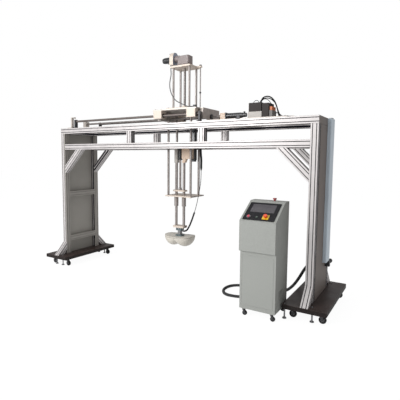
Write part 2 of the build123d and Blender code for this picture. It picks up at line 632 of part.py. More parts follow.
# Load cell cable: up through the notch of the lower plate to the plug
cell_points = [
    (104, 0, 652), (146, 0, 652), (186, 18, 724), (220, 34, 826), (250, 48, 930),
    (276, 57, 1036), (295, 61, 1144), (317, 62, 1248), (331, 60, 1352), (331, 60, 1464),
]
save("load_cell_cable", cord("load_cell_cable", cell_points, CELL_CABLE_R))


# Loading body: two rounded lobes below a flat rim
def half_width(x):
    """Half width of the rim outline at x."""
    return BODY_Y / 2 * (1 - abs(2 * x / BODY_X) ** 2.6) ** (1 / 2.6)


def depth(x):
    """Depth of the lobes below the rim at x."""
    if abs(x) < LOBE_X:
        rise = (1 - math.cos(math.pi * x / LOBE_X)) / 2
        return NOTCH_DEPTH + (LOBE_DEPTH - NOTCH_DEPTH) * rise
    outer = (abs(x) - LOBE_X) / (BODY_X / 2 - LOBE_X)
    return LOBE_DEPTH * (1 - outer ** 2.3) ** (1 / 2.3)


def body_section(x):
    """Half ellipse under the rim, in the plane across the body at x."""
    plane = Plane((PRESS_X + x, 0, BODY_RIM_Z), x_dir=(0, 1, 0), z_dir=(1, 0, 0))
    bowl = EllipticalCenterArc((0, 0), half_width(x), depth(x), start_angle=180, arc_size=180)
    rim = Line(bowl @ 1, bowl @ 0)
    return plane * make_face([bowl, rim])


stations = (0.985, 0.92, 0.78, 0.6, 2 * LOBE_X / BODY_X, 0.22)
half = [BODY_X / 2 * share for share in stations]
lobes = loft([body_section(x) for x in [-x for x in half] + [0] + half[::-1]])
rim_x = [BODY_X / 2 * math.cos(math.pi * step / 12) for step in range(13)]
upper = [(x, half_width(x) if abs(x) < BODY_X / 2 - 0.001 else 0) for x in rim_x]
lower = [(x, -y) for x, y in upper[-2:0:-1]]
outline = make_face(Spline(upper + lower, periodic=True))
rim = Pos(PRESS_X, 0, BODY_RIM_Z) * extrude(outline, CELL_Z0 - BODY_RIM_Z)
rim = fillet(rim.edges().group_by(Axis.Z)[-1], 8)
save("loading_body", lobes, rim)


# Console: a folded housing with a sloping desk
def console_profile(x0, x1, inset):
    """The side outline of the console between two X positions, drawn in by inset."""
    outline = Polygon(
        (-CONSOLE_BACK_Y, CONSOLE_Z0), (-CONSOLE_BACK_Y, CONSOLE_TOP),
        (-SLOPE_Y + 12, CONSOLE_TOP), (-SLOPE_Y, SLOPE_Z + 172), (-CONSOLE_FRONT_Y, SLOPE_Z),
        (-CONSOLE_FRONT_Y, 691), (-CONSOLE_LOW_Y, 677), (-CONSOLE_LOW_Y, CONSOLE_Z0), align=None,
    )
    plane = Plane((x0, 0, 0), x_dir=(0, 1, 0), z_dir=(1, 0, 0))
    if inset:
        outline = offset(outline, amount=-inset, kind=Kind.INTERSECTION)
    return extrude(plane * outline, x1 - x0)


console = console_profile(CONSOLE_X0, CONSOLE_X1, 0)
console -= console_profile(CONSOLE_X0 + CONSOLE_T, CONSOLE_X1 - CONSOLE_T, CONSOLE_T)
door_gap = 2.5
console -= block(CONSOLE_X0 + 22, CONSOLE_X0 + 22 + door_gap, -CONSOLE_LOW_Y - 1, -CONSOLE_LOW_Y + 2, 120, 640)
console -= block(CONSOLE_X1 - 22 - door_gap, CONSOLE_X1 - 22, -CONSOLE_LOW_Y - 1, -CONSOLE_LOW_Y + 2, 120, 640)
for z in (120, 640):
    console -= block(CONSOLE_X0 + 22, CONSOLE_X1 - 22, -CONSOLE_LOW_Y - 1, -CONSOLE_LOW_Y + 2, z, z + door_gap)
for number in range(7):
    z = 180 + 16 * number
    console -= block(CONSOLE_X1 - CONSOLE_T - 1, CONSOLE_X1 + 1, -560, -420, z, z + 6)
slope_angle = math.degrees(math.atan2(172, CONSOLE_FRONT_Y - SLOPE_Y))
desk = Plane(
    (console_x, -CONSOLE_FRONT_Y, SLOPE_Z), x_dir=(1, 0, 0),
    z_dir=(0, -math.sin(math.radians(slope_angle)), math.cos(math.radians(slope_angle))),
)
slope_length = math.hypot(172, CONSOLE_FRONT_Y - SLOPE_Y)


def on_desk(x, up, height=0):
    """A location on the desk: x across, up the slope, height above it."""
    return desk.location * Pos(x - console_x, up, height)


button_up = 62
estop_up = 70
button_x = 1300
estop_x = 1478
bezel = on_desk(1411, slope_length / 2 - 4) * extrude(RectangleRounded(330, 276, 8), BEZEL_T)
window = on_desk(1411, 205, BEZEL_T - 2) * extrude(RectangleRounded(252, 128, 4), 6)
bezel -= window
bezel -= on_desk(button_x, button_up, -1) * extrude(Circle(13), 10)
bezel -= on_desk(estop_x, estop_up, -1) * extrude(Circle(12), 10)
console -= on_desk(button_x, button_up, -26) * extrude(Circle(13), 27)
console -= on_desk(estop_x, estop_up, -26) * extrude(Circle(12), 27)
console -= upright(TOP_BUTTON_X, -370, CONSOLE_TOP - 26, CONSOLE_TOP + 1, 11)
save("console_housing", console)
lamp = on_desk(1386, button_up, BEZEL_T) * extrude(Circle(11), 5)
collar = on_desk(button_x, button_up, BEZEL_T) * extrude(Circle(20) - Circle(13), 4)
label = on_desk(estop_x, estop_up, BEZEL_T) * extrude(RectangleRounded(66, 66, 6) - Circle(12), 3)
save("console_bezel", bezel, lamp, collar, label)
screen = on_desk(1411, 205, BEZEL_T - 2) * extrude(RectangleRounded(251, 127, 4), 1.2)
save("console_screen", screen)

# Console controls
cap = on_desk(button_x, button_up, -8) * extrude(Circle(12.5), 28)
save("push_button", cap)
mushroom = on_desk(estop_x, estop_up, -8) * extrude(Circle(11.5), 34)
mushroom += on_desk(estop_x, estop_up, 19) * extrude(Circle(20), 15)
save("emergency_stop", mushroom)
top_button = upright(TOP_BUTTON_X, -370, CONSOLE_TOP - 8, CONSOLE_TOP + 20, 10.5)
top_button += upright(TOP_BUTTON_X, -370, CONSOLE_TOP + 16, CONSOLE_TOP + 30, 19)
save("top_button", top_button)

# Hose from the console to the right leg, with its two glands
hose_end = (panel_x - PANEL_T / 2 - 12, 190, HOSE_Z)
hose_points = [
    (1415, -272, 150), (1415, -165, 150), (1372, -84, 66), (1250, -80, 17), (1110, -205, 16),
    (985, -262, 16.5), (855, -262, 16), (778, -160, 17), (758, -30, 16), (800, 85, 17),
    (925, 160, 16), (1100, 178, 17), (1290, 172, 16), (1415, 196, 18), (1510, 206, 95),
    (1590, 202, 218), (1656, 192, 352), (1738, 190, HOSE_Z), hose_end,
]
save("hose", cord("hose", hose_points, HOSE_R))
glands = []
gland = along_y(1415, -CONSOLE_BACK_Y, -272, 150, HOSE_R + 6)
glands.append(gland)
glands.append(along_x(panel_x - PANEL_T / 2 - 12, panel_x + PANEL_T / 2 + 14, 190, HOSE_Z, HOSE_R + 6))
elbow_x = panel_x + 44
elbow = soft_block(panel_x + 16, elbow_x + 24, 168, 214, 420, 484, 6)
elbow += along_y(elbow_x, 214, 300, HOSE_Z, 17)
elbow += along_y(elbow_x, 300, 330, HOSE_Z, 24)
glands.append(elbow)
save("hose_glands", *glands)
print(len(NODE_NAMES), "nodes, part frame is the gantry middle moved by", GANTRY_Y)
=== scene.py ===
import json
import math

import bmesh
import bpy
from mathutils import Matrix, Vector
from mathutils.bvhtree import BVHTree


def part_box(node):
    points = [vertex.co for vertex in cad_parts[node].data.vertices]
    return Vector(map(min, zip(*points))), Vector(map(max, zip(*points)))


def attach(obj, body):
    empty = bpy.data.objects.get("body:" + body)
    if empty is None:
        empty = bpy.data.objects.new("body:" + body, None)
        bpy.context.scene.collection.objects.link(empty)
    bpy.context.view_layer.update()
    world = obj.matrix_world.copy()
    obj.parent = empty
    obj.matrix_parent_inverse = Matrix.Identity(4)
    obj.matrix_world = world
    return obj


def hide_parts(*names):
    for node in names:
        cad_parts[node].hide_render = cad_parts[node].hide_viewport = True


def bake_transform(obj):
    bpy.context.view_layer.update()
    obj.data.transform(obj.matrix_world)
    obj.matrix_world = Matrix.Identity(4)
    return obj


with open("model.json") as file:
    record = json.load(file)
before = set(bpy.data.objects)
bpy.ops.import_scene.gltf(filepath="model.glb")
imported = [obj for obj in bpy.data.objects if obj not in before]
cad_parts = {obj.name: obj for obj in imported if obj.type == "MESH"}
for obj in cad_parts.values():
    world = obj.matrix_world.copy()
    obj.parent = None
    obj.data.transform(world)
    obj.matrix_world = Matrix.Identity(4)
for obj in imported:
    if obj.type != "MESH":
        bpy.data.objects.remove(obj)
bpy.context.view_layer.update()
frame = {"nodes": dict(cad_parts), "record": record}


def box_middle(node):
    """Middle of a CAD node."""
    low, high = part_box(node)
    return (low + high) / 2


GANTRY_Y = box_middle("bridge_frame").y  # the gantry's middle in the row frame
MM = 0.001


def place(x, y, z):
    """A point given in millimetres from the gantry's middle, in the row frame."""
    return Vector((x * MM, y * MM + GANTRY_Y, z * MM))


def in_scene(name, data):
    """A new object with this data, in the scene."""
    made = bpy.data.objects.new(name, data)
    bpy.context.scene.collection.objects.link(made)
    return made


def both(x, y):
    """The four mirrored spots of a pattern."""
    return [(sx * x, sy * y) for sx in (-1, 1) for sy in (-1, 1)]


# Sizes and places of the part's source that the dressing follows, in millimetres
HALF_X = 1880  # the gantry, half over its columns
BAR_HALF = 40  # half of a slotted bar's side
SLOT_DEPTH = 12.5
TOP_Z = 2050  # top of the upper beams
POST_X = 550  # posts between the beams
LOW_BAR_Z, MID_BAR_Z = 375, 1060
PLATE_TOP = 150  # top of the base plates
CASTER_X, CASTER_Y = 146, 418
RAIL_Y, RAIL_Z = 250, 2150
RAIL_R = 15
STAND_X = (-1655, 472)  # left faces of the shaft stands
STAND_T = 26
DECK_TOP = 2058
COUPLING_X = (640, 709)
SADDLE_X = (860, 900)
SCREW_Z = 2130
SCREW_LEAD = 20
MOTOR_R = 30  # carriage servo
SERVO_X = (709, 719)  # its flange
CARRIAGE_TOP = 2225
CARRIAGE_X1 = 460
BLOCK_X = ((-173, -48), (320, 444))
TOWER_X = 112
TOWER_TOP = 2780
TOWER_PLATE_T = 20
TOWER_ROD_R = 14
LIMIT_ROD = (310, 55)
DRIVE_Z = 2892  # axis of the gearmotor
FLANGE_X = (-86, -30)
LIFT_ROD_R = 15
LIFT_TOP = 2260  # top of the nut plate
UNIT_Z, UNIT_T = 1745, 25  # plate that carries the press
LOWER_Z = 1120
PRESS_X = 48
PISTON_R = 15
YOKE_Z, YOKE_T = 1180, 20
FOOT_PLATE_Z, FOOT_PLATE_T = 698, 26
CELL_Z0 = 585
SUPPLY_TOP = 2123.5  # between the supply and the relay on it
SUPPLY_END = 1280  # between the supply and the drive
DRIVE_END = 1357.5  # between the drive and the terminals
CONSOLE_X, CONSOLE_Y = 1412, -484
DESK_Y, DESK_Z = -705, 1000
DESK_SLOPE = math.atan2(172, 272)
BEZEL_T = 6
STOP_AT, LAMP_AT, START_AT = (1478, 70), (1386, 62), (1300, 62)
CELL_PLUG_AT = (331, 60, 1464)
SOCKET_AT = (345, -165, 2250)
LIFT_SPOTS = [(99 + x, y) for x, y in both(171, 100)]
TOWER_SPOTS = [(TOWER_X + x, y) for x, y in both(120, 84)]


# Camera, solved from the corners of the slotted frame in the photograph
IMAGE = 400
FOCAL_PX = 380.915
CENTRE_PX = (183.563, 192.364)
CAMERA_AT = (2794.757, -4219.008, 1626.466)
CAMERA_YAW = 0.5682
CAMERA_PITCH = 0.0911
CAMERA_ROLL = 0.0055
SENSOR = 36  # width in millimetres


def make_camera():
    """The photograph's view."""
    data = bpy.data.cameras.new("camera")
    camera = in_scene("camera", data)
    bpy.context.scene.camera = camera
    data.sensor_width = SENSOR
    data.lens = FOCAL_PX / IMAGE * SENSOR
    data.shift_x = (IMAGE / 2 - CENTRE_PX[0]) / IMAGE
    data.shift_y = (CENTRE_PX[1] - IMAGE / 2) / IMAGE
    data.clip_start = 0.05
    data.clip_end = 100
    cos_y, sin_y = math.cos(CAMERA_YAW), math.sin(CAMERA_YAW)
    cos_p, sin_p = math.cos(CAMERA_PITCH), math.sin(CAMERA_PITCH)
    ahead = Vector((-sin_y * cos_p, cos_y * cos_p, -sin_p))
    right = Vector((cos_y, sin_y, 0))
    up = right.cross(ahead)
    cos_r, sin_r = math.cos(CAMERA_ROLL), math.sin(CAMERA_ROLL)
    right, up = cos_r * right + sin_r * up, cos_r * up - sin_r * right
    turn = Matrix((right, up, -ahead)).transposed().to_4x4()
    camera.matrix_world = Matrix.Translation(place(*CAMERA_AT)) @ turn


make_camera()


# Finishes: colour, metal, roughness, mottling share, grain per metre, bump, coat
FINISHES = {
    "slotted_aluminium": ((0.61, 0.58, 0.575), 0.3, 0.4, 0.03, 14, 0.01, 0),
    # painted shade, inside the slots and over their mouths
    "slot_shade": ((0.01, 0.01, 0.016), 0, 0.8, 0.1, 30, 0, 0),
    "panel_grey": ((0.3, 0.285, 0.26), 0, 0.5, 0.06, 3, 0, 0),
    "cover_brown": ((0.165, 0.135, 0.12), 0, 0.5, 0.08, 2, 0, 0),
    "duct_blue": ((0.58, 0.67, 0.75), 0.1, 0.35, 0.05, 4, 0, 0.1),
    "plate_black": ((0.022, 0.017, 0.016), 0, 0.38, 0.2, 60, 0.05, 0),
    "plate_brown": ((0.04, 0.027, 0.024), 0, 0.4, 0.12, 6, 0.03, 0),
    "zinc_steel": ((0.3, 0.3, 0.31), 0.8, 0.4, 0.12, 80, 0.02, 0),
    "ground_steel": ((0.36, 0.325, 0.31), 0.55, 0.35, 0.05, 20, 0, 0),
    "shaft_brown": ((0.17, 0.145, 0.135), 0.5, 0.35, 0.05, 20, 0, 0),
    "shade_grey": ((0.34, 0.32, 0.295), 0.1, 0.5, 0.05, 6, 0, 0),
    "bracket_aluminium": ((0.55, 0.5, 0.46), 0.3, 0.42, 0.06, 25, 0.02, 0),
    "black_steel": ((0.03, 0.03, 0.034), 0.3, 0.4, 0.15, 60, 0.03, 0),
    "cream_metal": ((0.66, 0.57, 0.49), 0.1, 0.42, 0.05, 25, 0, 0),
    "dark_plate": ((0.38, 0.335, 0.31), 0.2, 0.42, 0.15, 25, 0.02, 0),
    "peach_paint": ((0.66, 0.5, 0.38), 0, 0.42, 0.05, 25, 0.02, 0.1),
    "module_black": ((0.035, 0.028, 0.026), 0, 0.45, 0.2, 40, 0.03, 0),
    "terminal_orange": ((0.55, 0.14, 0.03), 0, 0.4, 0.1, 90, 0, 0),
    "light_paint": ((0.46, 0.43, 0.4), 0, 0.45, 0.06, 25, 0.02, 0),
    "gear_lilac": ((0.235, 0.195, 0.19), 0.1, 0.42, 0.2, 18, 0.03, 0),
    "flange_blue": ((0.33, 0.36, 0.43), 0.3, 0.4, 0.1, 18, 0.02, 0),
    "cell_teal": ((0.12, 0.16, 0.17), 0.5, 0.4, 0.2, 60, 0.02, 0),
    "caster_dark": ((0.085, 0.085, 0.09), 0.6, 0.4, 0.15, 60, 0.02, 0),
    "module_plastic": ((0.16, 0.15, 0.145), 0, 0.5, 0.1, 40, 0.03, 0),
    "servo_black": ((0.018, 0.02, 0.023), 0, 0.28, 0.2, 50, 0.02, 0.3),
    "cable_black": ((0.015, 0.015, 0.016), 0, 0.55, 0.2, 60, 0, 0),
    "cable_grey": ((0.12, 0.12, 0.125), 0, 0.5, 0.15, 60, 0, 0),
    "hose_grey": ((0.05, 0.05, 0.052), 0, 0.45, 0.2, 40, 0, 0),
    "console_paint": ((0.335, 0.345, 0.325), 0, 0.5, 0.05, 120, 0.06, 0),
    "bezel_black": ((0.02, 0.02, 0.023), 0, 0.42, 0.1, 80, 0.03, 0),
    "screen_grey": ((0.095, 0.09, 0.1), 0, 0.2, 0.05, 3, 0, 0.2),
    "button_pink": ((0.62, 0.07, 0.12), 0, 0.25, 0.04, 30, 0, 0.4),
    "button_red": ((0.3, 0.012, 0.012), 0, 0.28, 0.05, 30, 0, 0.3),
    "stop_orange": ((0.8, 0.075, 0.01), 0, 0.28, 0.04, 30, 0, 0.3),
    "body_white": ((0.62, 0.585, 0.52), 0, 0.4, 0.04, 9, 0, 0.15),
    "tyre_black": ((0.016, 0.016, 0.017), 0, 0.6, 0.25, 70, 0.04, 0),
    "yellow_plastic": ((0.8, 0.52, 0.02), 0, 0.35, 0.04, 40, 0, 0.2),
    "lamp_glass": ((0.02, 0.05, 0.03), 0, 0.1, 0.05, 40, 0, 0.6),
}

# Finishes that shine less than paint does
PAINT_SHINE = 0.5
SHINE = {
    "slot_shade": 0.0, "bezel_black": 0.12, "plate_black": 0.15, "plate_brown": 0.25,
    "module_black": 0.15, "tyre_black": 0.2, "cable_black": 0.2, "hose_grey": 0.2,
}

MOTTLE_SPAN = (0.35, 0.65)  # noise at which the colour is darkest and palest


def set_inputs(node, **values):
    """Values of a node's inputs; an underscore stands for a space in a name."""
    for name, value in values.items():
        node.inputs[name.replace("_", " ")].default_value = value


def added(nodes, kind, **values):
    """A new node with some of its inputs set."""
    node = nodes.new(kind)
    set_inputs(node, **values)
    return node


def wire(links, *rows):
    """Links, each from a node's output to a node's input."""
    for giver, output, taker, entry in rows:
        links.new(giver.outputs[output], taker.inputs[entry])


def finish_material(name):
    """Mottled colour and roughness, with a fine bump where stated."""
    colour, metal, rough, mottle, grain, bump, coat = FINISHES[name]
    made = bpy.data.materials.new(name)
    made.use_nodes = True
    nodes, links = made.node_tree.nodes, made.node_tree.links
    shader = nodes["Principled BSDF"]
    set_inputs(shader, Metallic=metal, Coat_Weight=coat,
               Specular_IOR_Level=SHINE.get(name, PAINT_SHINE))
    where = nodes.new("ShaderNodeTexCoord")
    noise = added(nodes, "ShaderNodeTexNoise", Scale=grain, Detail=5)
    ramp = nodes.new("ShaderNodeValToRGB")
    for end, share in ((0, 1 - mottle), (1, 1 + mottle)):
        ramp.color_ramp.elements[end].position = MOTTLE_SPAN[end]
        ramp.color_ramp.elements[end].color = [min(1, c * share) for c in colour] + [1]
    spread = added(nodes, "ShaderNodeMapRange", From_Min=0.3, From_Max=0.7,
                   To_Min=rough * 0.85, To_Max=min(1, rough * 1.2))
    wire(links, (where, "Object", noise, "Vector"), (noise, "Fac", ramp, "Fac"),
         (ramp, "Color", shader, "Base Color"), (noise, "Fac", spread, "Value"),
         (spread, "Result", shader, "Roughness"))
    if bump:
        fine = added(nodes, "ShaderNodeTexNoise", Scale=grain * 20)
        relief = added(nodes, "ShaderNodeBump", Strength=bump * 4, Distance=0.0005)
        wire(links, (where, "Object", fine, "Vector"), (fine, "Fac", relief, "Height"),
             (relief, "Normal", shader, "Normal"))
    return made


MATERIALS = {name: finish_material(name) for name in FINISHES}


def set_finish(obj, finish):
    """One finish all over an object."""
    obj.data.materials.clear()
    obj.data.materials.append(MATERIALS[finish])


def dark_ramp(nodes, dark, start, end):
    """A ramp from a dark colour up to white."""
    ramp = nodes.new("ShaderNodeValToRGB")
    low, high = ramp.color_ramp.elements
    low.position = start
    low.color = dark
    high.position = end
    return ramp


def multiply_colour(material, ramp):
    """What feeds a material's colour is multiplied by a ramp."""
    nodes, links = material.node_tree.nodes, material.node_tree.links
    colour = nodes["Principled BSDF"].inputs["Base Color"]
    mix = nodes.new("ShaderNodeMix")
    mix.data_type = "RGBA"
    mix.blend_type = "MULTIPLY"
    factor, first, second, result = mix.inputs[0], mix.inputs[6], mix.inputs[7], mix.outputs[2]
    factor.default_value = 1
    links.new(colour.links[0].from_socket, first)
    links.new(ramp.outputs["Color"], second)
    links.new(result, colour)


HOLLOW_REACH = 0.02  # metres
HOLLOW_FLOOR = 0.07  # what is left of the colour where no light gets in


def darken_hollows(material):
    """Painted shade: a bar's colour falls where little light gets into its slots."""
    nodes, links = material.node_tree.nodes, material.node_tree.links
    hollow = added(nodes, "ShaderNodeAmbientOcclusion", Distance=HOLLOW_REACH)
    hollow.samples = 8
    ramp = dark_ramp(nodes, (HOLLOW_FLOOR, HOLLOW_FLOOR, HOLLOW_FLOOR * 1.15, 1), 0.45, 0.72)
    wire(links, (hollow, "AO", ramp, "Fac"))
    multiply_colour(material, ramp)


darken_hollows(MATERIALS["slotted_aluminium"])


def math_node(nodes, links, kind, first, second=None):
    """One step of arithmetic between sockets or numbers."""
    step = nodes.new("ShaderNodeMath")
    step.operation = kind
    for socket, value in zip(step.inputs, (first, second)):
        if value is None:
            continue
        if isinstance(value, (int, float)):
            socket.default_value = value
        else:
            links.new(value, socket)
    return step.outputs[0]


def thread_material(name, along, centre):
    """Ground steel with a thread that winds round an axis, its groove drawn as a dark band of
    painted shade.
    """
    made = MATERIALS["ground_steel"].copy()
    made.name = name
    nodes, links = made.node_tree.nodes, made.node_tree.links
    split = nodes.new("ShaderNodeSeparateXYZ")
    where = next(n for n in nodes if n.bl_idname == "ShaderNodeTexCoord")
    links.new(where.outputs["Object"], split.inputs[0])
    across = [axis for axis in (0, 1, 2) if axis != along]
    sides = [
        math_node(nodes, links, "SUBTRACT", split.outputs[axis], centre[axis]) for axis in across
    ]
    turn = math_node(nodes, links, "ARCTAN2", sides[0], sides[1])
    part = math_node(nodes, links, "DIVIDE", turn, 2 * math.pi)
    run = math_node(nodes, links, "DIVIDE", split.outputs[along], SCREW_LEAD * MM)
    wave = math_node(nodes, links, "FRACT", math_node(nodes, links, "ADD", run, part))
    ridge = math_node(nodes, links, "PINGPONG", wave, 0.5)
    # Painted shade along the thread's groove
    ramp = dark_ramp(nodes, (0.25, 0.25, 0.25, 1), 0.12, 0.3)
    links.new(ridge, ramp.inputs["Fac"])
    multiply_colour(made, ramp)
    bump = added(nodes, "ShaderNodeBump", Strength=0.6, Distance=0.002)
    wire(links, (ramp, "Color", bump, "Height"),
         (bump, "Normal", nodes["Principled BSDF"], "Normal"))
    return made


def dress_cad():
    """Every CAD node takes the finish of its material slot."""
    for row in frame["record"]["subparts"]:
        node = frame["nodes"][row["node"]]
        node.data.materials.clear()
        node.data.materials.append(MATERIALS[row["material_slot"]])


dress_cad()


def paint(node, finish, test):
    """A finish for the faces of a CAD node whose middle and normal pass a test."""
    mesh = frame["nodes"][node].data
    mesh.materials.append(MATERIALS[finish])
    index = len(mesh.materials) - 1
    for face in mesh.polygons:
        at = face.center
        if test(at.x / MM, (at.y - GANTRY_Y) / MM, at.z / MM, face.normal):
            face.material_index = index


SLOT_REACH = 0.03  # farther than across a slot, nearer than any other bar
SLOT_TILTS = (0, 1.2, -1.2)  # straight out of a face, and leaning to both sides of it
OFF_FACE = 0.0002  # where a ray starts, so that it misses its own face


def paint_slots(node):
    """Painted shade: a dark finish inside the T-slots of a node, where little light gets in."""
    mesh = frame["nodes"][node].data
    mesh.materials.append(MATERIALS["slot_shade"])
    tree = BVHTree.FromPolygons(
        [v.co for v in mesh.vertices], [tuple(f.vertices) for f in mesh.polygons])
    for face in mesh.polygons:
        corners = [mesh.vertices[i].co for i in face.vertices]
        edges = [b - a for a, b in zip(corners, corners[1:] + corners[:1])]
        along = max(edges, key=lambda e: e.length).normalized()
        across = face.normal.cross(along)
        start = face.center + face.normal * OFF_FACE
        straight, left, right = [
            tree.ray_cast(start, (face.normal + tilt * across).normalized(), SLOT_REACH)[0]
            for tilt in SLOT_TILTS
        ]
        if straight or (left and right):
            face.material_index = len(mesh.materials) - 1


for slotted in ("bridge_frame", "leg_frames", "frame_braces"):
    paint_slots(slotted)


def anywhere(x, y, z, n):
    """Every face of a node."""
    return True


def within(value, span, margin):
    """True inside a span that is widened by a margin at both ends."""
    return span[0] - margin < value < span[1] + margin


def paint_screws():
    """A thread for each lead screw."""
    for node, name, along, centre in (
        ("x_lead_screw", "x_thread", 0, (0, GANTRY_Y, SCREW_Z * MM)),
        ("lift_lead_screw", "lift_thread", 2, (TOWER_X * MM, GANTRY_Y, 0)),
    ):
        threads = frame["nodes"][node].data.materials
        threads.clear()
        threads.append(thread_material(name, along, centre))


INSIDE_Y = 254.5  # just inside the columns, where the crossbars end


def paint_gantry():
    """Brown plates and shafts, and a grey of painted shade on the crossbars and inner sides of the
    left columns.
    """
    inner_x = HALF_X - 2 * BAR_HALF
    paint("base_plates", "plate_brown", lambda x, y, z, n: n.z > 0.5)
    paint("guide_shafts", "shaft_brown", anywhere)
    # Painted shade: the crossbars and the inner sides of the left columns lie in shade, so they
    # take a darker grey
    paint("leg_frames", "shade_grey", lambda x, y, z, n: abs(y) < INSIDE_Y and abs(n.y) < 0.9
          and any(abs(z - bar) < BAR_HALF + 1 for bar in (LOW_BAR_Z, MID_BAR_Z)))
    paint("leg_frames", "shade_grey",
          lambda x, y, z, n: -inner_x - SLOT_DEPTH - 0.5 < x < -inner_x + 1)


def paint_gearmotor():
    """A lilac gearbox, a blue and cream flange and a black motor."""
    back, front = FLANGE_X
    paint("lift_gearmotor", "gear_lilac", lambda x, y, z, n: x > front - 1)
    paint("lift_gearmotor", "flange_blue", lambda x, y, z, n: abs(x - front) < 1 and n.x > 0.5)
    paint("lift_gearmotor", "servo_black", lambda x, y, z, n: x < back - 0.5)
    paint("lift_gearmotor", "cream_metal",
          lambda x, y, z, n: back - 0.5 < x < front and abs(n.x) < 0.5)


def paint_tower():
    """A cream top plate and black knobs on the limit rod."""
    plate = (TOWER_TOP - TOWER_PLATE_T, TOWER_TOP)

    def from_rod(x, y):
        return math.hypot(x - LIMIT_ROD[0], y - LIMIT_ROD[1])

    paint("lift_tower", "cream_metal", lambda x, y, z, n: within(z, plate, 1.001))
    paint("lift_tower", "black_steel", lambda x, y, z, n: 9 < from_rod(x, y) < 17
          and not plate[0] - 1 < z < plate[1] - 1)
    paint("lift_tower", "black_steel",
          lambda x, y, z, n: from_rod(x, y) < 24 and z > TOWER_TOP + 0.5)


def paint_brackets():
    """Black shaft stands and saddle and a peach coupling box, over the decks."""
    stands = [(x, x + STAND_T) for x in STAND_X]
    paint("bridge_brackets", "black_steel", lambda x, y, z, n: abs(y) > 200
          and any(within(x, stand, 1) for stand in stands) and z > TOP_Z + 1)
    paint("bridge_brackets", "peach_paint",
          lambda x, y, z, n: within(x, COUPLING_X, 2) and z > DECK_TOP + 1)
    paint("bridge_brackets", "black_steel",
          lambda x, y, z, n: within(x, SADDLE_X, 2) and z > DECK_TOP + 1)


def paint_modules():
    """A light supply, a black relay and drive and orange terminals."""
    paint("control_modules", "light_paint", lambda x, y, z, n: x < SUPPLY_END and z < SUPPLY_TOP)
    paint("control_modules", "module_black",
          lambda x, y, z, n: x < SUPPLY_END - 5 and z > SUPPLY_TOP)
    paint("control_modules", "module_black", lambda x, y, z, n: SUPPLY_END < x < DRIVE_END)
    paint("control_modules", "terminal_orange",
          lambda x, y, z, n: x > DRIVE_END and z > 2129)


def paint_carriage():
    """A grey right end, a black screw nut and ground bushes in the top plate."""
    paint("carriage_frame", "dark_plate", lambda x, y, z, n: x > CARRIAGE_X1 - 1 and n.y > -0.5)
    paint("carriage_bearings", "black_steel",
          lambda x, y, z, n: x > CARRIAGE_X1 - 10 and abs(y) < 40)
    paint("carriage_bearings", "ground_steel", lambda x, y, z, n: abs(y) < 140 and x < 400)


def paint_press():
    """Peach and ground parts of the guides, and cream plates."""
    unit = (UNIT_Z, UNIT_Z + UNIT_T)
    yoke = (YOKE_Z, YOKE_Z + YOKE_T)
    foot_top = FOOT_PLATE_Z + FOOT_PLATE_T
    paint("press_guides", "peach_paint", lambda x, y, z, n: x > 79 and z > 1500)
    paint("press_guides", "ground_steel", lambda x, y, z, n: z < LOWER_Z + 1)
    paint("lift_plates", "cream_metal", lambda x, y, z, n: n.x < 0.5 and not within(z, unit, 1))
    paint("press_frame", "cream_metal", lambda x, y, z, n: within(z, yoke, 1)
          or FOOT_PLATE_Z - 1 < z < foot_top + 0.5)


def on_desk(x, up, height):
    """A point on the console's desk, in millimetres."""
    return (
        x,
        DESK_Y + up * math.cos(DESK_SLOPE) - height * math.sin(DESK_SLOPE),
        DESK_Z + up * math.sin(DESK_SLOPE) + height * math.cos(DESK_SLOPE),
    )


def near_desk(x, y, z, spot, reach):
    """True within reach of a spot on the desk."""
    return (Vector((x, y, z)) - Vector(on_desk(*spot))).length < reach


def over_bezel(x, y, z, spot):
    """True for what stands above the bezel's face at a spot."""
    rise = Vector((0, -math.sin(DESK_SLOPE), math.cos(DESK_SLOPE)))
    return (Vector((x, y, z)) - Vector(on_desk(*spot, BEZEL_T))).dot(rise) > 0.3


def paint_console():
    """A yellow plate, a lamp and a steel ring round the start button."""
    paint("console_bezel", "yellow_plastic",
          lambda x, y, z, n: near_desk(x, y, z, (*STOP_AT, 8), 49) and z > DESK_Z
          and over_bezel(x, y, z, STOP_AT))
    paint("console_bezel", "lamp_glass",
          lambda x, y, z, n: near_desk(x, y, z, (*LAMP_AT, 10), 12.5))
    paint("console_bezel", "zinc_steel",
          lambda x, y, z, n: near_desk(x, y, z, (*START_AT, 9), 21)
          and over_bezel(x, y, z, START_AT))
    paint("emergency_stop", "stop_orange", anywhere)


HUB_SHARE = 0.26  # a hub's radius in its wheel's diameter


def paint_casters():
    """Dark forks, and pale hubs in the wheels."""
    for name in frame["nodes"]:
        if "_fork_" in name:
            paint(name, "caster_dark", anywhere)
        if "_wheel_" in name:
            low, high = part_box(name)
            middle = box_middle(name) / MM
            hub = (high.z - low.z) / MM * HUB_SHARE
            paint(name, "zinc_steel",
                  lambda x, y, z, n: math.hypot(x - middle.x, z - middle.z) < hub)


paint_screws()
paint_gantry()
paint_gearmotor()
paint_tower()
paint_brackets()
paint_modules()
paint_carriage()
paint_press()
paint_console()
paint_casters()


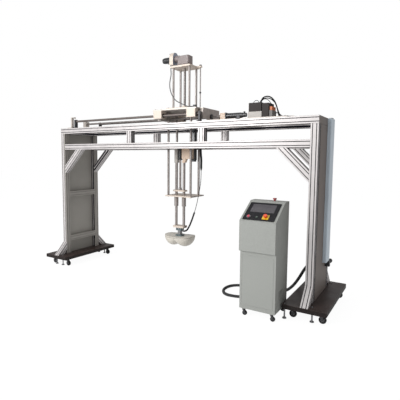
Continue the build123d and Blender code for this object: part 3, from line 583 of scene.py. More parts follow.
# Cords: the routes of the part's source, in millimetres from the gantry's middle. The hose
# lies 4 mm higher on the floor here, because its sleeve is thicker.
ROUTES = {
    "module_cable": [
        (1392, -196, 2110), (1424, -196, 2110), (1452, -206, 2080), (1478, -212, 2067),
        (1506, -209, 2074), (1532, -201, 2066), (1554, -194, 2064),
    ],
    "lift_motor_cable": [
        (-108, 0, DRIVE_Z - 46), (-108, 0, 2790), (-84, -24, 2696), (-66, -84, 2600),
        (-28, -140, 2509), (18, -162, 2414), (84, -168, 2336), (160, -170, 2302),
        (240, -165, 2262), (290, -165, 2250), (345, -165, 2250),
    ],
    "cable_bundle": [
        (312, 76, 1745), (312, 76, 1690), (328, 68, 1600), (331, 60, 1540), (331, 60, 1486),
    ],
    "load_cell_cable": [
        (104, 0, 652), (146, 0, 652), (186, 18, 724), (220, 34, 826), (250, 48, 930),
        (276, 57, 1036), (295, 61, 1144), (317, 62, 1248), (331, 60, 1352), (331, 60, 1464),
    ],
    "hose": [
        (1415, -272, 150), (1415, -165, 150), (1372, -84, 66), (1250, -80, 20),
        (1110, -205, 19), (985, -262, 19.5), (855, -262, 19), (778, -160, 20), (758, -30, 19),
        (800, 85, 20), (925, 160, 19), (1100, 178, 20), (1290, 172, 19), (1415, 196, 21),
        (1510, 206, 95), (1590, 202, 218), (1656, 192, 352), (1738, 190, 452), (1848, 190, 452),
    ],
}


def route_curve(name, points, radius):
    """A round curve along a route."""
    data = bpy.data.curves.new(name, "CURVE")
    data.dimensions = "3D"
    data.bevel_depth = radius
    data.bevel_resolution = 4
    data.resolution_u = 12
    data.use_fill_caps = True
    spline = data.splines.new("NURBS")
    spline.points.add(len(points) - 1)
    for point, at in zip(spline.points, points):
        point.co = (*place(*at), 1)
    spline.order_u = 3
    spline.use_endpoint_u = True
    return in_scene(name, data)


def line_points(curve):
    """The points along a curve's own line, with its thickness left out."""
    depth = curve.data.bevel_depth
    curve.data.bevel_depth = 0
    bpy.context.view_layer.update()
    ready = curve.evaluated_get(bpy.context.evaluated_depsgraph_get())
    mesh = ready.to_mesh()
    points = [tuple(v.co) for v in mesh.vertices]
    ready.to_mesh_clear()
    curve.data.bevel_depth = depth
    bpy.context.view_layer.update()
    return points


def plain_mesh(obj, name):
    """A plain mesh in an object's place, with all that its modifiers make."""
    bpy.context.view_layer.update()
    ready = obj.evaluated_get(bpy.context.evaluated_depsgraph_get())
    mesh = bpy.data.meshes.new_from_object(ready)
    bpy.data.objects.remove(obj)
    return in_scene(name, mesh)


def smooth(obj):
    """Shade a mesh smooth."""
    obj.data.polygons.foreach_set("use_smooth", [True] * len(obj.data.polygons))
    return obj


def make_cord(name, radius, body, finish):
    """A cord that rides on one body and stands for its CAD solid."""
    curve = route_curve(name + "_line", ROUTES[name], radius * MM)
    points = line_points(curve)
    curve.data.materials.append(MATERIALS[finish])
    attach(curve, body)
    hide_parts(name)


HOSE_R = 16.5 * MM  # middle of the sleeve's waves
HOSE_WAVE = 1.4 * MM
HOSE_PITCH = 9 * MM
WAVE_STEPS = 6  # along one wave
HOSE_SIDES = 14


def new_tree(name, **takes):
    """A node tree that takes some sockets, and sets a finish on the shape that it gives."""
    tree = bpy.data.node_groups.new(name, "GeometryNodeTree")
    sockets = [tree.interface.new_socket(label, in_out="INPUT", socket_type="NodeSocket" + kind)
               for label, kind in takes.items()]
    tree.interface.new_socket("Shape", in_out="OUTPUT", socket_type="NodeSocketGeometry")
    nodes = tree.nodes
    into, out = nodes.new("NodeGroupInput"), nodes.new("NodeGroupOutput")
    real = nodes.new("GeometryNodeRealizeInstances")
    dress = nodes.new("GeometryNodeSetMaterial")
    wire(tree.links, (real, "Geometry", dress, "Geometry"),
         (into, "Finish", dress, "Material"), (dress, "Geometry", out, "Shape"))
    return tree, into, real, [socket.identifier for socket in sockets]


def wavy_tube_tree():
    """Geometry nodes that turn a line into a corrugated tube."""
    tree, into, real, sockets = new_tree("wavy_tube", Line="Geometry", Finish="Material")
    nodes, links = tree.nodes, tree.links
    steps = nodes.new("GeometryNodeResampleCurve")
    steps.mode = "LENGTH"
    set_inputs(steps, Length=HOSE_PITCH / WAVE_STEPS)
    run = nodes.new("GeometryNodeSplineParameter")
    turn = math_node(nodes, links, "MULTIPLY", run.outputs["Length"], 2 * math.pi / HOSE_PITCH)
    wave = math_node(nodes, links, "MULTIPLY", math_node(nodes, links, "SINE", turn), HOSE_WAVE)
    size = math_node(nodes, links, "ADD", wave, HOSE_R)
    ring_line = added(nodes, "GeometryNodeCurvePrimitiveCircle", Resolution=HOSE_SIDES, Radius=1)
    skin = added(nodes, "GeometryNodeCurveToMesh", Fill_Caps=True)
    links.new(size, skin.inputs["Scale"])
    wire(links, (into, "Line", steps, "Curve"), (steps, "Curve", skin, "Curve"),
         (ring_line, "Curve", skin, "Profile Curve"), (skin, "Mesh", real, "Geometry"))
    return tree, sockets[1]


def make_hose():
    """The corrugated sleeve from the console to the leg."""
    curve = route_curve("hose_route", ROUTES["hose"], 0)
    points = line_points(curve)
    waves = curve.modifiers.new("waves", "NODES")
    waves.node_group, finish_socket = wavy_tube_tree()
    waves[finish_socket] = MATERIALS["hose_grey"]
    sleeve = smooth(plain_mesh(curve, "hose_sleeve"))
    set_finish(sleeve, "hose_grey")
    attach(sleeve, "gantry")
    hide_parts("hose")


make_hose()
make_cord("module_cable", 5, "gantry", "cable_black")
make_cord("lift_motor_cable", 6, "carriage", "cable_grey")
make_cord("cable_bundle", 14, "lift", "cable_black")


CELL_CABLE_R = 4
CELL_SLEEVE_R = 11
SLEEVE_SHARE = 0.42  # how much of the cable the sleeve covers, from its lower end


def make_cell_sleeve(points):
    """The thicker sleeve over the lower stretch of the load cell cable."""
    covered = points[: round(len(points) * SLEEVE_SHARE)]
    data = bpy.data.curves.new("cell_sleeve_line", "CURVE")
    data.dimensions = "3D"
    data.bevel_depth = CELL_SLEEVE_R * MM
    data.use_fill_caps = True
    spline = data.splines.new("POLY")
    spline.points.add(len(covered) - 1)
    for point, at in zip(spline.points, covered):
        point.co = (*at, 1)
    line = in_scene("cell_sleeve_line", data)
    sleeve = smooth(plain_mesh(line, "cell_cable_sleeve"))
    set_finish(sleeve, "cable_black")
    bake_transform(sleeve)
    return sleeve


def make_cell_cable():
    """The load cell cable, as one fixed shape from the lift frame above down to the press below.
    """
    curve = route_curve("cell_cable_line", ROUTES["load_cell_cable"], CELL_CABLE_R * MM)
    points = line_points(curve)
    mesh = smooth(plain_mesh(curve, "load_cell_cable_line"))
    set_finish(mesh, "cable_black")
    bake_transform(mesh)
    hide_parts("load_cell_cable")
    sleeve = make_cell_sleeve(points)


make_cell_cable()


def bmesh_piece(name, body, slot_name, build, finish=None):
    """A mesh piece in place, in the finish given or else in that of its slot; with a body, it
    rides it.
    """
    shape = bmesh.new()
    build(shape)
    bmesh.ops.recalc_face_normals(shape, faces=shape.faces)
    mesh = bpy.data.meshes.new(name)
    shape.to_mesh(mesh)
    shape.free()
    made = in_scene(name, mesh)
    mesh.materials.append(MATERIALS[finish or slot_name])
    if body:
        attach(made, body)
    return made


def walls(shape, loops):
    """Faces between each closed loop of corners and the next."""
    count = len(loops[0])
    for low, high in zip(loops, loops[1:]):
        for step in range(count):
            after = (step + 1) % count
            shape.faces.new((low[step], low[after], high[after], high[step]))


def closed_skin(shape, loops):
    """Walls between loops of corners, and flat ends."""
    walls(shape, loops)
    shape.faces.new(loops[0][::-1])
    shape.faces.new(loops[-1])


def lathe(shape, rings, count, at, aim, hexed=()):
    """Loops of a turned shape from (radius, height) rings, along aim from a point in metres."""
    turn = Vector(aim).to_track_quat("Z", "Y").to_matrix()
    loops = []
    for number, (radius, height) in enumerate(rings):
        loop = []
        for step in range(count):
            angle = 2 * math.pi * step / count
            reach = radius
            if number in hexed:
                reach *= math.cos(math.pi / 6) / math.cos(angle % (math.pi / 3) - math.pi / 6)
            spot = Vector((reach * math.cos(angle), reach * math.sin(angle), height))
            loop.append(shape.verts.new(Vector(at) + turn @ spot))
        loops.append(loop)
    return loops


def capped(shape, rings, count, at, aim, hexed=()):
    """A turned shape with flat ends."""
    closed_skin(shape, lathe(shape, rings, count, at, aim, hexed))


def ring(shape, inner, outer, height, count, at, aim, hexed=False):
    """A flat ring, round or hexagonal outside."""
    rounds = [(inner, 0), (outer, 0), (outer, height * 0.8), (outer * 0.95, height),
              (inner, height)]
    loops = lathe(shape, rounds, count, at, aim, (1, 2, 3) if hexed else ())
    walls(shape, [*loops, loops[0]])


BOX_FACES = (
    (0, 1, 3, 2), (4, 6, 7, 5), (0, 4, 5, 1), (2, 3, 7, 6), (0, 2, 6, 4), (1, 5, 7, 3),
)


def closed_box(shape, corners):
    """A box over eight corners, of which the last axis runs fastest."""
    made = [shape.verts.new(corner) for corner in corners]
    for face in BOX_FACES:
        shape.faces.new([made[i] for i in face])


def cuboid(shape, low, high):
    """A box between two corners given in millimetres from the gantry's middle."""
    closed_box(shape, [place(x, y, z) for x in (low[0], high[0]) for y in (low[1], high[1])
                       for z in (low[2], high[2])])


def repeat_tree():
    """Geometry nodes that set a unit on every point, along its aim."""
    tree, into, real, sockets = new_tree(
        "set_on_spots", Spots="Geometry", Unit="Object", Finish="Material")
    nodes = tree.nodes
    info = nodes.new("GeometryNodeObjectInfo")
    aim = nodes.new("GeometryNodeInputNamedAttribute")
    aim.data_type = "FLOAT_VECTOR"
    set_inputs(aim, Name="aim")
    align = nodes.new("FunctionNodeAlignRotationToVector")
    align.axis = "Z"
    spread = nodes.new("GeometryNodeInstanceOnPoints")
    wire(tree.links, (into, "Unit", info, "Object"), (aim, "Attribute", align, "Vector"),
         (into, "Spots", spread, "Points"), (info, "Geometry", spread, "Instance"),
         (align, "Rotation", spread, "Rotation"), (spread, "Instances", real, "Geometry"))
    return tree, sockets[1], sockets[2]


REPEAT, UNIT_SOCKET, FINISH_SOCKET = repeat_tree()


def repeated(name, body, slot_name, build, spots, finish=None):
    """One plain mesh with a copy of a small shape at every (x, y, z, aim) spot."""
    finish = finish or slot_name
    unit = bmesh_piece(name + "_unit", None, finish, build)
    points = bpy.data.meshes.new(name + "_spots")
    points.from_pydata([place(*spot[:3]) for spot in spots], [], [])
    aims = points.attributes.new("aim", "FLOAT_VECTOR", "POINT")
    for number, spot in enumerate(spots):
        aims.data[number].vector = spot[3]
    holder = in_scene(name + "_holder", points)
    nodes = holder.modifiers.new("repeat", "NODES")
    nodes.node_group = REPEAT
    nodes[UNIT_SOCKET] = unit
    nodes[FINISH_SOCKET] = MATERIALS[finish]
    made = plain_mesh(holder, name)
    bpy.data.objects.remove(unit)
    set_finish(made, finish)
    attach(made, body)


UP, DOWN = (0, 0, 1), (0, 0, -1)
LEFT, RIGHT = (-1, 0, 0), (1, 0, 0)
FRONT = (0, -1, 0)
SCREW_SIDES = 24
ROD_SIDES = 36
HERE = (0, 0, 0)  # where a unit is made before it is set on its spots
ROD_GAP = 0.1  # between a rod and the ring round it


def cap_screw(radius, height):
    """A builder for a socket cap screw's head, sizes in millimetres."""
    r, h = radius * MM, height * MM
    socket_r = r * 0.52
    rings = [(r, 0), (r, h * 0.85), (r * 0.9, h), (socket_r, h), (socket_r, h * 0.4)]
    return lambda shape: capped(shape, rings, SCREW_SIDES, HERE, UP, (3, 4))


def collar(inner, outer, height, hexed=False):
    """A builder for a round collar or a hexagon nut, sizes in millimetres."""
    return lambda shape: ring(
        shape, inner * MM, outer * MM, height * MM, ROD_SIDES, HERE, UP, hexed)


def block_screws():
    """Screws in the carriage plate over the four bearing blocks."""
    middles = [(left + right) / 2 for left, right in BLOCK_X]
    spots = [(x + dx, sy * RAIL_Y + dy, CARRIAGE_TOP, UP) for x in middles for sy in (-1, 1)
             for dx, dy in both(44, 28)]
    repeated("block_screws", "carriage", "zinc_steel", cap_screw(6.5, 7), spots)


def nut_screws():
    """Six screws round the flange of the carriage's screw nut."""
    circle, flange_x = 28, 514
    angles = [math.pi / 3 * step for step in range(6)]
    spots = [(flange_x, circle * math.cos(a), SCREW_Z + circle * math.sin(a), RIGHT)
             for a in angles]
    repeated("nut_screws", "carriage", "zinc_steel", cap_screw(3.2, 3.5), spots)


def tower_nuts():
    """Nuts over the top plate and collars at the feet of the tower rods."""
    inner = TOWER_ROD_R + ROD_GAP
    tops = [(x, y, TOWER_TOP, UP) for x, y in TOWER_SPOTS]
    repeated("tower_nuts", "carriage", "zinc_steel", collar(inner, 22, 5.5, hexed=True), tops)
    feet = [(x, y, CARRIAGE_TOP, UP) for x, y in TOWER_SPOTS]
    repeated("tower_collars", "carriage", "zinc_steel", collar(inner, 25, 9), feet,
             "bracket_aluminium")


def block_seals():
    """Wiper seals at both ends of each bearing block."""
    spots = [(x, sy * RAIL_Y, RAIL_Z, aim) for sy in (-1, 1) for span in BLOCK_X
             for x, aim in zip(span, (LEFT, RIGHT))]
    repeated("block_seals", "carriage", "black_steel", collar(RAIL_R + 0.2, 26, 3), spots)


def gear_screws():
    """Screws in the gearbox's front and at the corners of the motor flange."""
    gear_front = -56
    spots = [(x, gear_front, z, FRONT) for x in (50, 178) for z in (2834, 2898)]
    spots += [(FLANGE_X[0], y, z, LEFT) for y in (-50, 50) for z in (DRIVE_Z - 54, DRIVE_Z + 62)]
    repeated("gear_screws", "carriage", "zinc_steel", cap_screw(5, 5), spots)


def rod_caps_and_collars():
    """Caps on the lift rods' ends, and collars at the plate of the press."""
    ends = [(x, y, LIFT_TOP, UP) for x, y in LIFT_SPOTS]
    ends += [(x, y, LOWER_Z, DOWN) for x, y in LIFT_SPOTS]
    repeated("rod_end_caps", "lift", "zinc_steel", cap_screw(11, 8), ends)
    held = [(x, y, z, aim) for x, y in LIFT_SPOTS
            for z, aim in ((UNIT_Z, DOWN), (UNIT_Z + UNIT_T, UP))]
    repeated("rod_collars", "lift", "black_steel", collar(LIFT_ROD_R + 0.2, 24, 14), held)


def press_fasteners():
    """The end screws of the foot plate and the piston's lock nut on the yoke."""
    plate_half, screw_z, nut_z = 84, 711, 1220
    ends = [(PRESS_X - plate_half, 0, screw_z, LEFT), (PRESS_X + plate_half, 0, screw_z, RIGHT)]
    repeated("foot_plate_screws", "press", "black_steel", cap_screw(10, 9), ends)
    repeated("piston_nut", "press", "zinc_steel",
             collar(PISTON_R + ROD_GAP, 23, 10, hexed=True), [(PRESS_X, 0, nut_z, UP)])


def stand_screws():
    """Screws in the feet and on the tops of the shaft stands."""
    middles = [x + STAND_T / 2 for x in STAND_X]
    spots = [(x, sy * (RAIL_Y + 46), TOP_Z + 12, UP) for x in middles for sy in (-1, 1)]
    spots += [(x, sy * RAIL_Y, RAIL_Z + 24, UP) for x in middles for sy in (-1, 1)]
    repeated("stand_screws", "gantry", "zinc_steel", cap_screw(5, 5), spots)


def servo_details():
    """Screws in the flange of the carriage servo and the cooling ribs round it."""
    rib_pitch, rib_x0 = 14, 742
    corners = [(SERVO_X[1], y, SCREW_Z + z, RIGHT) for y, z in both(31, 31)]
    repeated("servo_screws", "gantry", "zinc_steel", cap_screw(4, 4), corners)
    ribs = [(rib_x0 + rib_pitch * step, 0, SCREW_Z, RIGHT) for step in range(12)]
    repeated("servo_ribs", "gantry", "servo_black", collar(MOTOR_R - 0.2, MOTOR_R + 2.5, 7), ribs)


def caster_screws():
    """Four screws in the plate of every caster."""
    plate_z, console_plate_z = 101, 74
    column_x = HALF_X - BAR_HALF
    spots = [(leg + x + dx, y + dy, plate_z, DOWN) for leg in (-column_x, column_x)
             for x, y in both(CASTER_X, CASTER_Y) for dx, dy in both(24, 21)]
    spots += [(CONSOLE_X + x + dx, CONSOLE_Y + y + dy, console_plate_z, DOWN)
              for x, y in both(150, 158) for dx, dy in both(15, 13)]
    repeated("caster_screws", "gantry", "zinc_steel", cap_screw(4, 3), spots)


SHEET_X = (1880.2, 1881.5)  # cover sheets, from just off the legs to their outer face
SHEET_Y = 254
SHEET_Z = (151, 1969)
END_SHEET_Y = 334  # over the end bars
END_SHEET_Z = (1971, 2049)
PASSAGE_Y = (160, 222)  # where the hose goes through the right sheet
PASSAGE_Z = (410, 494)


def cover_screws():
    """Screws along both edges of the cover sheets."""
    spots = [(side * SHEET_X[1], sy * 242, z, RIGHT if side > 0 else LEFT) for side in (-1, 1)
             for sy in (-1, 1) for z in (180, 375, 720, 1060, 1400, 1740, 1940)]
    repeated("cover_screws", "gantry", "zinc_steel", cap_screw(5, 2), spots)


def cover_sheets():
    """Thin sheets that make one panel of each leg's outer side."""
    near, far = SHEET_X

    def build(shape):
        cuboid(shape, (-far, -SHEET_Y, SHEET_Z[0]), (-near, SHEET_Y, SHEET_Z[1]))
        for z0, z1 in ((SHEET_Z[0], PASSAGE_Z[0]), (PASSAGE_Z[1], SHEET_Z[1])):
            cuboid(shape, (near, -SHEET_Y, z0), (far, SHEET_Y, z1))
        cuboid(shape, (near, -END_SHEET_Y, END_SHEET_Z[0]), (far, END_SHEET_Y, END_SHEET_Z[1]))
        for y0, y1 in ((-SHEET_Y, PASSAGE_Y[0]), (PASSAGE_Y[1], SHEET_Y)):
            cuboid(shape, (near, y0, PASSAGE_Z[0]), (far, y1, PASSAGE_Z[1]))
    bmesh_piece("cover_sheets", "gantry", "panel_grey", build, "cover_brown")


SLOT_AT = 20  # each slot from the middle of its face
STRIP_W = 11.5  # half width of the dark strip of painted shade over a slot's mouth
STRIP_DEPTH = (-0.1, 0.4)  # from the bar's face
COLUMN_AT = (1840, 294)  # middle of the strips round a column, 1 mm nearer than the bar's own
BEAM_Z = (1775, 2010)  # middles of the lower and upper beams
BRACE_FROM, BRACE_TO = (1506, 1735), (1800, 1441)
STRUT_FOOT, STRUT_HEAD = (453.2, 150), (334, 272.6)
X_DIR, Y_DIR, Z_DIR = Vector((1, 0, 0)), Vector((0, 1, 0)), Vector((0, 0, 1))


def strip(shape, start, end, out, side):
    """A strip along a bar's axis, on its face toward out."""
    start, end, out, side = Vector(start), Vector(end), Vector(out), Vector(side)
    corners = [spot + out * (BAR_HALF + high) + side * wide for spot in (start, end)
               for high in STRIP_DEPTH for wide in (-STRIP_W, STRIP_W)]
    closed_box(shape, [place(*corner) for corner in corners])


def bar_strips(shape, start, end, sides):
    """Two strips on each side of a bar, from pairs of the way out and the way across."""
    for out, side in sides:
        for shift in (-SLOT_AT, SLOT_AT):
            moved = side * shift
            strip(shape, Vector(start) + moved, Vector(end) + moved, out, side)


def four_sides(first, second):
    """The sides of a bar that runs square to two directions."""
    sides = [(sign * first, second) for sign in (-1, 1)]
    return sides + [(sign * second, first) for sign in (-1, 1)]


def side_strips(shape, y):
    """Strips on a side's beams and columns, and on the front posts."""
    x = COLUMN_AT[0]
    low_z, high_z = BEAM_Z
    level, upright = four_sides(Y_DIR, Z_DIR), four_sides(Y_DIR, X_DIR)
    bar_strips(shape, (-x - BAR_HALF, y, high_z), (x + BAR_HALF, y, high_z), level)
    bar_strips(shape, (BAR_HALF - x, y, low_z), (x - BAR_HALF, y, low_z), level)
    for post_x in (-POST_X, POST_X) if y < 0 else ():
        bar_strips(shape, (post_x, y, low_z + BAR_HALF), (post_x, y, high_z - BAR_HALF), upright)
    # The inner face of the left column looks plain
    for column_x, shown in ((-x, upright[:3]), (x, upright)):
        bar_strips(shape, (column_x, y, PLATE_TOP), (column_x, y, high_z - BAR_HALF), shown)


def brace_strips(shape, y):
    """Strips on the front and back of the left corner brace."""
    slope = math.sqrt(0.5)
    for shift in (-SLOT_AT / slope, SLOT_AT / slope):
        start = (-BRACE_FROM[0] - shift, y, BRACE_FROM[1])
        end = (-BRACE_TO[0], y, BRACE_TO[1] + shift)
        for out in (-1, 1):
            strip(shape, start, end, (0, out, 0), (-slope, 0, slope))


def strut_strips(shape, y):
    """Strips on the upper faces of both foot struts of a side."""
    turn = 1 if y > 0 else -1
    for x in (-COLUMN_AT[0], COLUMN_AT[0]):
        foot = Vector((x, turn * STRUT_FOOT[0], STRUT_FOOT[1]))
        head = Vector((x, turn * STRUT_HEAD[0], STRUT_HEAD[1]))
        run = (head - foot).normalized()
        out = Vector((0, turn * run.z, abs(run.y)))
        back = run * (BAR_HALF * abs(run.y) / run.z)
        ahead = run * (BAR_HALF * run.z / abs(run.y))
        for shift in (-SLOT_AT * X_DIR, SLOT_AT * X_DIR):
            strip(shape, foot + shift - back, head + shift + ahead, out, X_DIR)


def end_bar_strips(shape):
    """Strips on the bars that join the upper beams at both ends."""
    column_y, z = COLUMN_AT[1], BEAM_Z[1]
    for x in (-COLUMN_AT[0], COLUMN_AT[0]):
        bar_strips(shape, (x, BAR_HALF - column_y, z), (x, column_y - BAR_HALF, z),
                   four_sides(X_DIR, Z_DIR))


def slot_strips():
    """Dark strips of painted shade over the slots' mouths, where the slots look black. None lie on
    the back posts and the right corner braces, which look plain there."""
    def build(shape):
        for y in (-COLUMN_AT[1], COLUMN_AT[1]):
            side_strips(shape, y)
            brace_strips(shape, y)
            strut_strips(shape, y)
        end_bar_strips(shape)
    bmesh_piece("slot_strips", "gantry", "plate_black", build, "slot_shade")


DUCT_X = (1881.6, 1921)
DUCT_Y = (42, 206)
DUCT_Z = (490, 2046)
DUCT_BEND = 9  # radius of its two outer edges
BEND_STEPS = 4


def duct_outline():
    """The duct's section in plan, open corners at the leg and round ones outside."""
    outline = [(DUCT_X[0], DUCT_Y[1]), (DUCT_X[0], DUCT_Y[0])]
    bend_x = DUCT_X[1] - DUCT_BEND
    for bend_y, start in ((DUCT_Y[0] + DUCT_BEND, -math.pi / 2), (DUCT_Y[1] - DUCT_BEND, 0)):
        turns = [start + math.pi / 2 * step / BEND_STEPS for step in range(BEND_STEPS + 1)]
        outline += [(bend_x + DUCT_BEND * math.cos(a), bend_y + DUCT_BEND * math.sin(a))
                    for a in turns]
    return outline


def cable_duct():
    """The light duct from the hose's elbow up to the modules."""
    def folded(shape):
        outline = duct_outline()
        closed_skin(shape, [[shape.verts.new(place(x, y, z)) for x, y in outline] for z in DUCT_Z])
    bmesh_piece("cable_duct", "gantry", "bracket_aluminium", folded, "duct_blue")


def duct_ends():
    """The black sockets at the duct's foot and head."""
    def build(shape):
        cuboid(shape, (DUCT_X[0], 174, 483.8), (1914, 204, DUCT_Z[0]))
        cuboid(shape, (1884, 90, DUCT_Z[1]), (1916, 158, DUCT_Z[1] + 9))
    bmesh_piece("duct_ends", "gantry", "black_steel", build)


BODY_HALF_X = 205
BODY_HALF_Y = 150
BODY_TOP = 585
BODY_LOW = 455
BODY_SQUARE = 2.6  # how square the body's plan is, 2 being an ellipse
WAIST = 0.1  # how far the plan is drawn in at the middle
WAIST_REACH = 0.3  # as a share of the half length
TIP_RISE = 16
TIP_POWER = 2.2
LOBE_AT = 0.47  # lobe's deepest point, as a share of the half length
CREASE = 0.551  # sets how deep the crease between the lobes is
RIM_T = 18
RIM_EDGE = 3
BOWL_STEPS = 28
BODY_STEPS = 30  # from the middle to a tip
TIP_SHARE = 0.9985  # where the last section is, short of the tip's point
RIM_SHADE_STEP = 4  # the face of a section in the groove under the rim, dark with painted shade, counted from its start


def body_section(share):
    """The loading body's outline at a share of its half length, in millimetres."""
    far = abs(share)
    wide = BODY_HALF_Y * (1 - far ** BODY_SQUARE) ** (1 / BODY_SQUARE)
    wide *= 1 - WAIST * max(0, 1 - far / WAIST_REACH) ** 2
    top = BODY_TOP + TIP_RISE * far ** TIP_POWER
    deepest = BODY_TOP + TIP_RISE * LOBE_AT ** TIP_POWER - RIM_T - BODY_LOW
    if far > LOBE_AT:
        deep = deepest * math.sqrt(max(0, 1 - ((far - LOBE_AT) / (1 - LOBE_AT)) ** 2))
    else:
        deep = deepest * math.sqrt(1 - ((LOBE_AT - far) / CREASE) ** 2)
    edge = min(RIM_EDGE, wide / 2)
    side = [(wide - edge, top), (wide - edge * 0.3, top - 1), (wide, top - 4), (wide, top - 12),
            (wide - edge, top - 13), (wide - edge, top - 16), (wide - edge * 0.2, top - RIM_T)]
    bowl = [((wide - edge * 0.2) * math.cos(a), top - RIM_T - deep * math.sin(a))
            for a in [math.pi * step / BOWL_STEPS for step in range(1, BOWL_STEPS)]]
    back = [(-y, z) for y, z in reversed(side)]
    return side + bowl + back


def loading_lobes():
    """The loading body, with raised tips, painted shade in the groove under the rim, and a crease.
    """
    shares = [math.sin(math.pi / 2 * step / BODY_STEPS) * TIP_SHARE
              for step in range(-BODY_STEPS, BODY_STEPS + 1)]
    sections = [body_section(share) for share in shares]
    count = len(sections[0])

    def build(shape):
        closed_skin(shape, [[shape.verts.new(place(PRESS_X + BODY_HALF_X * share, y, z))
                              for y, z in section] for share, section in zip(shares, sections)])
    body = bmesh_piece("loading_lobes", "press", "body_white", build)
    # Painted shade: the groove under the rim on both sides takes a dark finish
    body.data.materials.append(MATERIALS["cover_brown"])
    # The two faces at the tips come last and stay flat
    for number, face in enumerate(body.data.polygons[:-2]):
        face.material_index = int(number % count in (RIM_SHADE_STEP, count - 2 - RIM_SHADE_STEP))
        face.use_smooth = True
    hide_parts("loading_body")


def cell_mounts():
    """Blocks over and under the load cell, with two hexagon screws."""
    def build(shape):
        cuboid(shape, (6, -34, 660), (90, 34, 697.6))
        cuboid(shape, (2, -40, CELL_Z0 + 0.3), (94, 40, 603))
        for x in (14, 82):
            capped(shape, [(7 * MM, 0), (7 * MM, 6 * MM)], 6, place(x, -34, 679), FRONT)
    bmesh_piece("cell_mounts", "press", "zinc_steel", build, "cell_teal")


def cell_plug():
    """The ribbed plug at the upper end of the load cell cable."""
    def build(shape):
        rings = [(9, 0), (10, 2), (10, 10), (8.6, 12), (10, 14), (10, 22)]
        capped(shape, [(r * MM, z * MM) for r, z in rings], 32, place(*CELL_PLUG_AT), UP)
    bmesh_piece("cell_plug", "lift", "cable_black", build)


def motor_socket():
    """The socket on the carriage that the lift motor's cable ends in."""
    x, y, z = SOCKET_AT

    def build(shape):
        cuboid(shape, (x, y - 17, CARRIAGE_TOP), (x + 34, y + 17, CARRIAGE_TOP + 44))
        collar_rings = [(9 * MM, 0), (9 * MM, 6 * MM), (7 * MM, 8 * MM)]
        capped(shape, collar_rings, 32, place(x + 0.2, y, z), LEFT)
    bmesh_piece("motor_socket", "carriage", "black_steel", build)


# Loose wires over the modules: radius and route in millimetres
WIRES = {
    "module_wire_1": (7, [
        (1240, -232, 2218), (1243, -232, 2262), (1282, -230, 2288), (1340, -228, 2282),
        (1386, -226, 2236), (1412, -224, 2176), (1426, -222, 2120), (1440, -221, 2064),
    ]),
    "module_wire_4": (5, [
        (1214, -200, 2218), (1218, -200, 2252), (1262, -196, 2276), (1326, -190, 2270),
        (1380, -186, 2222), (1404, -184, 2164), (1424, -184, 2110), (1446, -184, 2062),
    ]),
    "module_wire_2": (3.5, [
        (1250, -262, 2218), (1262, -262, 2246), (1296, -260, 2258), (1330, -258, 2244),
        (1352, -257, 2216), (1374, -256, 2186), (1375, -256, 2168),
    ]),
    "module_wire_3": (3.0, [
        (1160, -256, 2218), (1168, -256, 2240), (1196, -258, 2250), (1222, -260, 2238),
        (1230, -261, 2218),
    ]),
}


def module_wires():
    """Loose wires over the modules and down to the tray."""
    for name, (radius, points) in WIRES.items():
        curve = route_curve(name, points, radius * MM)
        line = line_points(curve)
        curve.data.materials.append(MATERIALS["cable_black"])
        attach(curve, "gantry")


block_screws()
nut_screws()
tower_nuts()
block_seals()
gear_screws()
rod_caps_and_collars()
press_fasteners()
stand_screws()
servo_details()
caster_screws()
cover_screws()
cover_sheets()
slot_strips()
cable_duct()
duct_ends()
loading_lobes()
cell_mounts()
cell_plug()
motor_socket()
module_wires()


SKY_SHARE = 0.5  # how strongly the white sky lights, against what the camera sees
# Lamps: name, place in millimetres, size in metres and power in watts
LAMPS = (
    ("key", (-2600, -7000, 3600), 3.0, 400),
    ("top", (300, -600, 6500), 4.0, 60),
)
LAMPS_AIM = (0, 0, 1100)
FLOOR_SIZE = 60
FLOOR_DROP = 0.0005
FLOOR_GLOW = 1.06
GLOW_SHARE = 0.9  # how much of the floor that the camera sees is its own glow


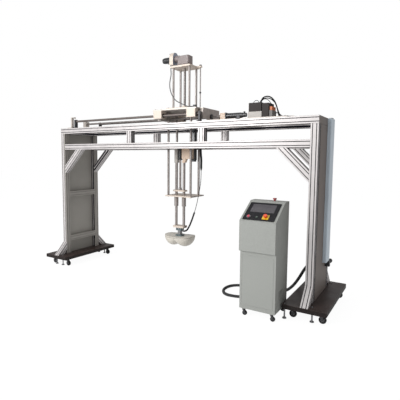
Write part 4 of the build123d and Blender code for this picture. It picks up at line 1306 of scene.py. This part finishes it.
def white_sky():
    """A white sky that lights less than the camera sees of it."""
    world = bpy.data.worlds.new("world")
    bpy.context.scene.world = world
    world.use_nodes = True
    nodes, links = world.node_tree.nodes, world.node_tree.links
    backdrop = nodes["Background"]
    set_inputs(backdrop, Color=(1, 1, 1, 1))
    path = nodes.new("ShaderNodeLightPath")
    strength = added(nodes, "ShaderNodeMapRange", To_Min=SKY_SHARE, To_Max=1.0)
    wire(links, (path, "Is Camera Ray", strength, "Value"),
         (strength, "Result", backdrop, "Strength"))


def soft_lamps():
    """Soft light from the front left and from above."""
    for name, at, size, power in LAMPS:
        lamp = bpy.data.lights.new(name, "AREA")
        lamp.size = size
        lamp.energy = power
        made = in_scene(name, lamp)
        made.location = place(*at)
        aim = place(*LAMPS_AIM) - made.location
        made.rotation_mode = "QUATERNION"
        made.rotation_quaternion = aim.to_track_quat("-Z", "Y")


def floor_material():
    """A pale matt floor that glows white to the camera, so that only contact shadows show."""
    pale = bpy.data.materials.new("floor")
    pale.use_nodes = True
    nodes, links = pale.node_tree.nodes, pale.node_tree.links
    shader = nodes["Principled BSDF"]
    set_inputs(shader, Base_Color=(0.9, 0.9, 0.9, 1), Roughness=1, Specular_IOR_Level=0)
    glow = added(nodes, "ShaderNodeEmission", Color=(1, 1, 1, 1), Strength=FLOOR_GLOW)
    path = nodes.new("ShaderNodeLightPath")
    mix = nodes.new("ShaderNodeMixShader")
    share = math_node(nodes, links, "MULTIPLY", path.outputs["Is Camera Ray"], GLOW_SHARE)
    links.new(share, mix.inputs[0])
    links.new(shader.outputs[0], mix.inputs[1])
    links.new(glow.outputs[0], mix.inputs[2])
    links.new(mix.outputs[0], nodes["Material Output"].inputs["Surface"])
    return pale


def pale_floor():
    """The floor, just under the feet."""
    bpy.ops.mesh.primitive_plane_add(size=FLOOR_SIZE, location=(0, 0, -FLOOR_DROP))
    floor = bpy.context.object
    floor.name = "floor"
    floor.data.materials.append(floor_material())


bpy.context.scene.view_settings.view_transform = "Standard"
white_sky()
soft_lamps()
pale_floor()
